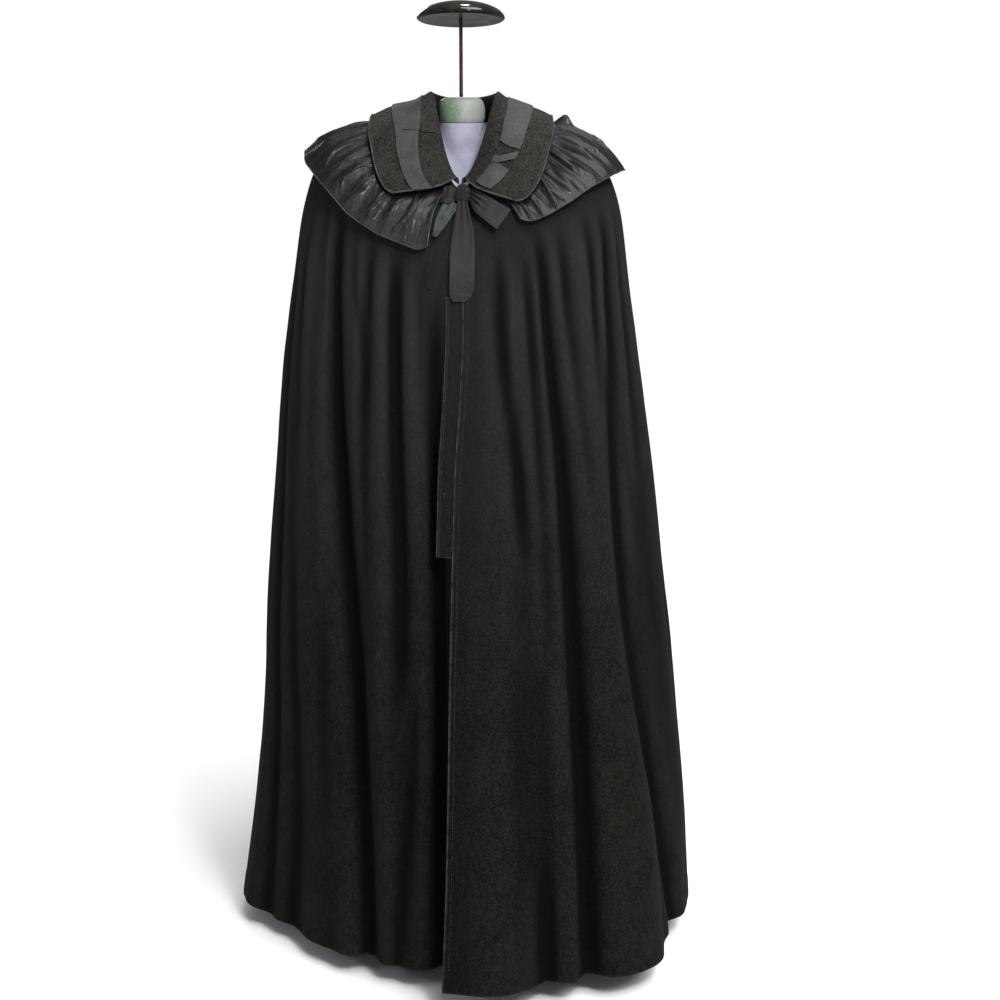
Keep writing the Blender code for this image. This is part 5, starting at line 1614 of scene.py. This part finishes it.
def collar_trim():
    return [pipe("collar_piping", [collar_outline(PIPING_RADIUS, 0.0006)], PIPING_RADIUS, "piping"),
            stitch("collar_stitches", [collar_outline(COLLAR_STITCH, ON_FACE)], seed=2)]


def flounce_trim():
    first, last = FLOUNCE["angle"][0], FLOUNCE["angle"][-1]
    near, far = END_HEM_DEGREES
    angle = np.linspace(first + 0.2, last - 0.2, 900)
    hem = flounce_place(angle, np.ones(len(angle)), -HEM_CORD_RADIUS / 2)
    share = np.linspace(*END_HEM_SHARES, 60)
    turned = [flounce_place(np.full(len(share), end), share, 0.0002)
              for end in (first + near, first + far, last - far, last - near)]
    inner = angle[8:-8]
    stitched = flounce_place(inner, np.full(len(inner), FLOUNCE_STITCH_SHARE), ON_FACE)
    return [pipe("flounce_hem_cord", [hem], HEM_CORD_RADIUS, "satin", 8),
            pipe("flounce_end_hems", turned, END_HEM_RADIUS, "satin", 8),
            stitch("flounce_stitches", [stitched], 0.0026, 0.0018, 0.00020, 3)]


def band_trim():
    along = np.linspace(0.004, 0.996, 200)
    lines = [band_place(band, along, np.full(len(along), across), ON_FACE)
             for band in BANDS.values() for across in BAND_STITCH_SHARES]
    return [stitch("band_stitches", lines, 0.0022, 0.0016, 0.00018, 4),
            # A near-black tube, the painted shadow of a crease across the right leaf and its band.
            pipe("collar_shadow_line", [collar_shadow_line()], 0.0007, "painted_crease_line", 6)]


def front_trim():
    """Rolled edge and stitching of the left front."""
    roll = left_edge_path(0.0, -WOOL / 2, 0.165, HEM_REACH - 0.0012)
    stitched = left_edge_path(EDGE_STITCH, ON_FACE, 0.170, HEM_REACH - 0.004)
    # The roll's paler wool is partly wear, partly a painted highlight along the edge.
    return [pipe("front_edge_roll", [roll], FRONT_ROLL_RADIUS, "edge"),
            stitch("front_edge_stitches", [stitched], seed=5)]


def strip_trim():
    """Rolled edge and stitching of the strip, with its hooks."""
    face = -WOOL - SEAM_GAP
    low, high = STRIP_ENDS
    roll = left_edge_path(-STRIP_WIDTH, face - 0.00075, low + 0.001, high - 0.001)
    stitched = left_edge_path(-STRIP_WIDTH + STRIP_STITCH, face + ON_FACE,
                              low + 0.003, high - 0.003)
    # The roll's paler wool is partly wear, partly a painted highlight along the edge.
    return [pipe("strip_edge_roll", [roll], STRIP_ROLL_RADIUS, "edge"),
            stitch("strip_stitches", [stitched], seed=6), make_hooks()]


HOOK_COLUMNS = ("x", "height", "length", "tilt")
HOOK_ROWS = (
    (-0.0258, 0.9250, 0.0085, 0.30),
    (-0.0260, 0.8960, 0.0070, -0.20),
    (-0.0300, 0.8700, 0.0075, 0.10),
    (-0.0226, 0.8360, 0.0090, 0.45),
    (-0.0212, 0.8160, 0.0075, -0.30),
    (-0.0160, 0.7800, 0.0080, 0.15),
    (-0.0146, 0.7500, 0.0070, -0.10),
)
HOOK_WIRE = 0.00055
HOOK_WIDTH = 0.0024
HOOK_EYE = 0.0007
HOOK_NOSE = 0.0011
HOOK_LIFT = 0.0002


def make_hooks():
    """Bent wire hooks sewn to the strip, each with two eyes and a turned-back nose."""
    half = HOOK_WIDTH / 2
    round_ = np.linspace(0.0, 2 * np.pi, 17)
    over = np.linspace(0.0, np.pi, 9)
    paths = []
    for row in HOOK_ROWS:
        hook = dict(zip(HOOK_COLUMNS, row))
        left_eye = [(-half - HOOK_EYE + HOOK_EYE * np.cos(t), -HOOK_EYE * np.sin(t), 0.0)
                    for t in round_]
        bend = [(-half * np.cos(t), hook["length"] + half * np.sin(t) - half,
                 HOOK_NOSE * np.sin(t)) for t in over]
        right_eye = [(half + HOOK_EYE - HOOK_EYE * np.cos(t), -HOOK_EYE * np.sin(t), 0.0)
                     for t in reversed(round_)]
        local = np.array(left_eye + bend + right_eye)
        cos, sin = np.cos(hook["tilt"]), np.sin(hook["tilt"])
        x = hook["x"] + local[:, 0] * cos - local[:, 1] * sin
        z = hook["height"] + local[:, 0] * sin + local[:, 1] * cos
        paths.append(front_point(x, z, HOOK_WIRE - WOOL - SEAM_GAP + HOOK_LIFT + local[:, 2]))
    return pipe("strip_hooks", paths, HOOK_WIRE, "hook", 6)


# The pieces whose material isn't their slot's own.
OWN_LOOKS = {"tie_tail_side": "dull_ribbon", "tie_tail_short": "teal_ribbon"}


def make_cloths():
    trims = {"collar_leaves": collar_trim(), "flounce": flounce_trim(),
             "band_right": band_trim(), "front_left_panel": front_trim(),
             "fly_strip_facing": strip_trim()}
    for row in CUT_ROWS:
        cut = dict(zip(CUT_COLUMNS, row))
        material = MATERIALS[OWN_LOOKS.get(cut["name"], cut["finish"])]
        piece = make_cloth(cut["name"], grid_of(cut["name"], cut["node"]), cut["wall"], material)
        finish_piece(piece, cut["node"])
        for trim in trims.get(cut["name"], ()):
            finish_piece(trim)


def make_form():
    torso = bpy.data.objects["form_torso"]
    for slot in torso.material_slots:
        slot.material = MATERIALS["form_cloth"]
    finish_piece(make_neck(), "form_neck")
    finish_piece(make_cap(), "neck_cap")
    finish_piece(make_pin(), "neck_pin")
    finish_piece(make_rod(), "hat_rod")
    finish_piece(make_disc(), "hat_disc")
    pole, plate = make_stand()
    finish_piece(pole, "pole")
    finish_piece(plate, "base")


make_cloths()
make_form()


# ---------------------------------------------------------------- camera, light and floor
CAMERA_PLACE = (0.066, -2.300, 1.222)
CAMERA_DOWN = 10.6
CAMERA_LENS = 46.8
SENSOR_WIDTH = 36.0
SUN_ENERGY = 3.2
SUN_SPREAD = 42.0
SUN_DIRECTION = (-0.42, 0.42, -1.0)
SUN_PLACE = (0.0, 0.0, 3.0)
LAMP_COLUMNS = ("name", "energy", "size", "spot", "target", "colour")
LAMP_ROWS = (
    ("key", 40.0, 0.5, (0.9, -2.1, 2.5), (0.0, 0.0, 1.20), (1.0, 0.985, 0.96)),
    ("fill", 6.0, 0.4, (-2.2, -1.9, 2.1), (0.0, 0.0, 1.05), (0.94, 0.97, 1.0)),
    ("top", 9.0, 0.3, (0.15, 0.45, 3.5), (0.0, 0.0, 1.6), (1.0, 1.0, 1.0)),
    ("rim", 12.0, 1.0, (-1.0, 2.4, 2.6), (0.0, 0.0, 1.2), (1.0, 1.0, 1.0)),
)
SKY_COLOUR = (0.96, 0.98, 1.0, 1.0)
SKY_LIGHT = 0.30
SKY_MIRRORED = 0.12
WHITE = (1.0, 1.0, 1.0, 1.0)
FLOOR_RADII = (0.4, 1.5, 6.0, 60.0)
FLOOR_SIDES = 96


def stand_in_scene(name, data):
    made = bpy.data.objects.new(name, data)
    bpy.context.scene.collection.objects.link(made)
    return made


def aim(thing, spot, target):
    thing.location = spot
    thing.rotation_euler = (Vector(target) - Vector(spot)).to_track_quat("-Z", "Y").to_euler()


def add_camera():
    data = bpy.data.cameras.new("camera")
    data.sensor_width = SENSOR_WIDTH
    data.lens = CAMERA_LENS
    made = stand_in_scene("camera", data)
    made.location = CAMERA_PLACE
    made.rotation_euler = (math.radians(90.0 - CAMERA_DOWN), 0.0, 0.0)
    bpy.context.scene.camera = made


def add_lamp(name, energy, size, spot, target, colour):
    data = bpy.data.lights.new(name, "AREA")
    data.shape = "DISK"
    data.size = size
    data.energy = energy
    data.color = colour
    aim(stand_in_scene(name, data), spot, target)


def add_sun():
    data = bpy.data.lights.new("sun", "SUN")
    data.energy = SUN_ENERGY
    data.angle = math.radians(SUN_SPREAD)
    aim(stand_in_scene("sun", data), SUN_PLACE, Vector(SUN_PLACE) + Vector(SUN_DIRECTION))


def add_world():
    """White behind the cloak for the camera, a dimmer grey sky for the light and reflections."""
    world = bpy.data.worlds.new("studio")
    bpy.context.scene.world = world
    world.use_nodes = True
    tree = world.node_tree
    tree.nodes.clear()

    def background(colour, strength):
        return place(tree, "ShaderNodeBackground", {},
                     {"Color": colour, "Strength": strength}).outputs[0]

    def choice(rays, otherwise, chosen):
        return place(tree, "ShaderNodeMixShader", {}, {0: rays, 1: otherwise, 2: chosen}).outputs[0]

    rays = tree.nodes.new("ShaderNodeLightPath").outputs
    lit = choice(rays["Is Glossy Ray"], background(SKY_COLOUR, SKY_LIGHT),
                 background(SKY_COLOUR, SKY_MIRRORED))
    mixed = choice(rays["Is Camera Ray"], lit, background(WHITE, 1.0))
    tree.links.new(mixed, tree.nodes.new("ShaderNodeOutputWorld").inputs[0])


def add_floor():
    rings = [circle(radius, 0.0, FLOOR_SIDES) for radius in FLOOR_RADII]
    points = np.concatenate([np.zeros((1, 3)), *rings])
    faces = []
    for c in range(FLOOR_SIDES):
        after = (c + 1) % FLOOR_SIDES
        faces.append((0, 1 + c, 1 + after))
        for first in range(1, 1 + (len(rings) - 1) * FLOOR_SIDES, FLOOR_SIDES):
            outer = first + FLOOR_SIDES
            faces.append((first + c, outer + c, outer + after, first + after))
    link_mesh("floor", points, faces, floor_material())


add_camera()
add_world()
add_floor()
add_sun()
for row in LAMP_ROWS:
    add_lamp(**dict(zip(LAMP_COLUMNS, row)))
bpy.context.scene.view_settings.view_transform = "Standard"
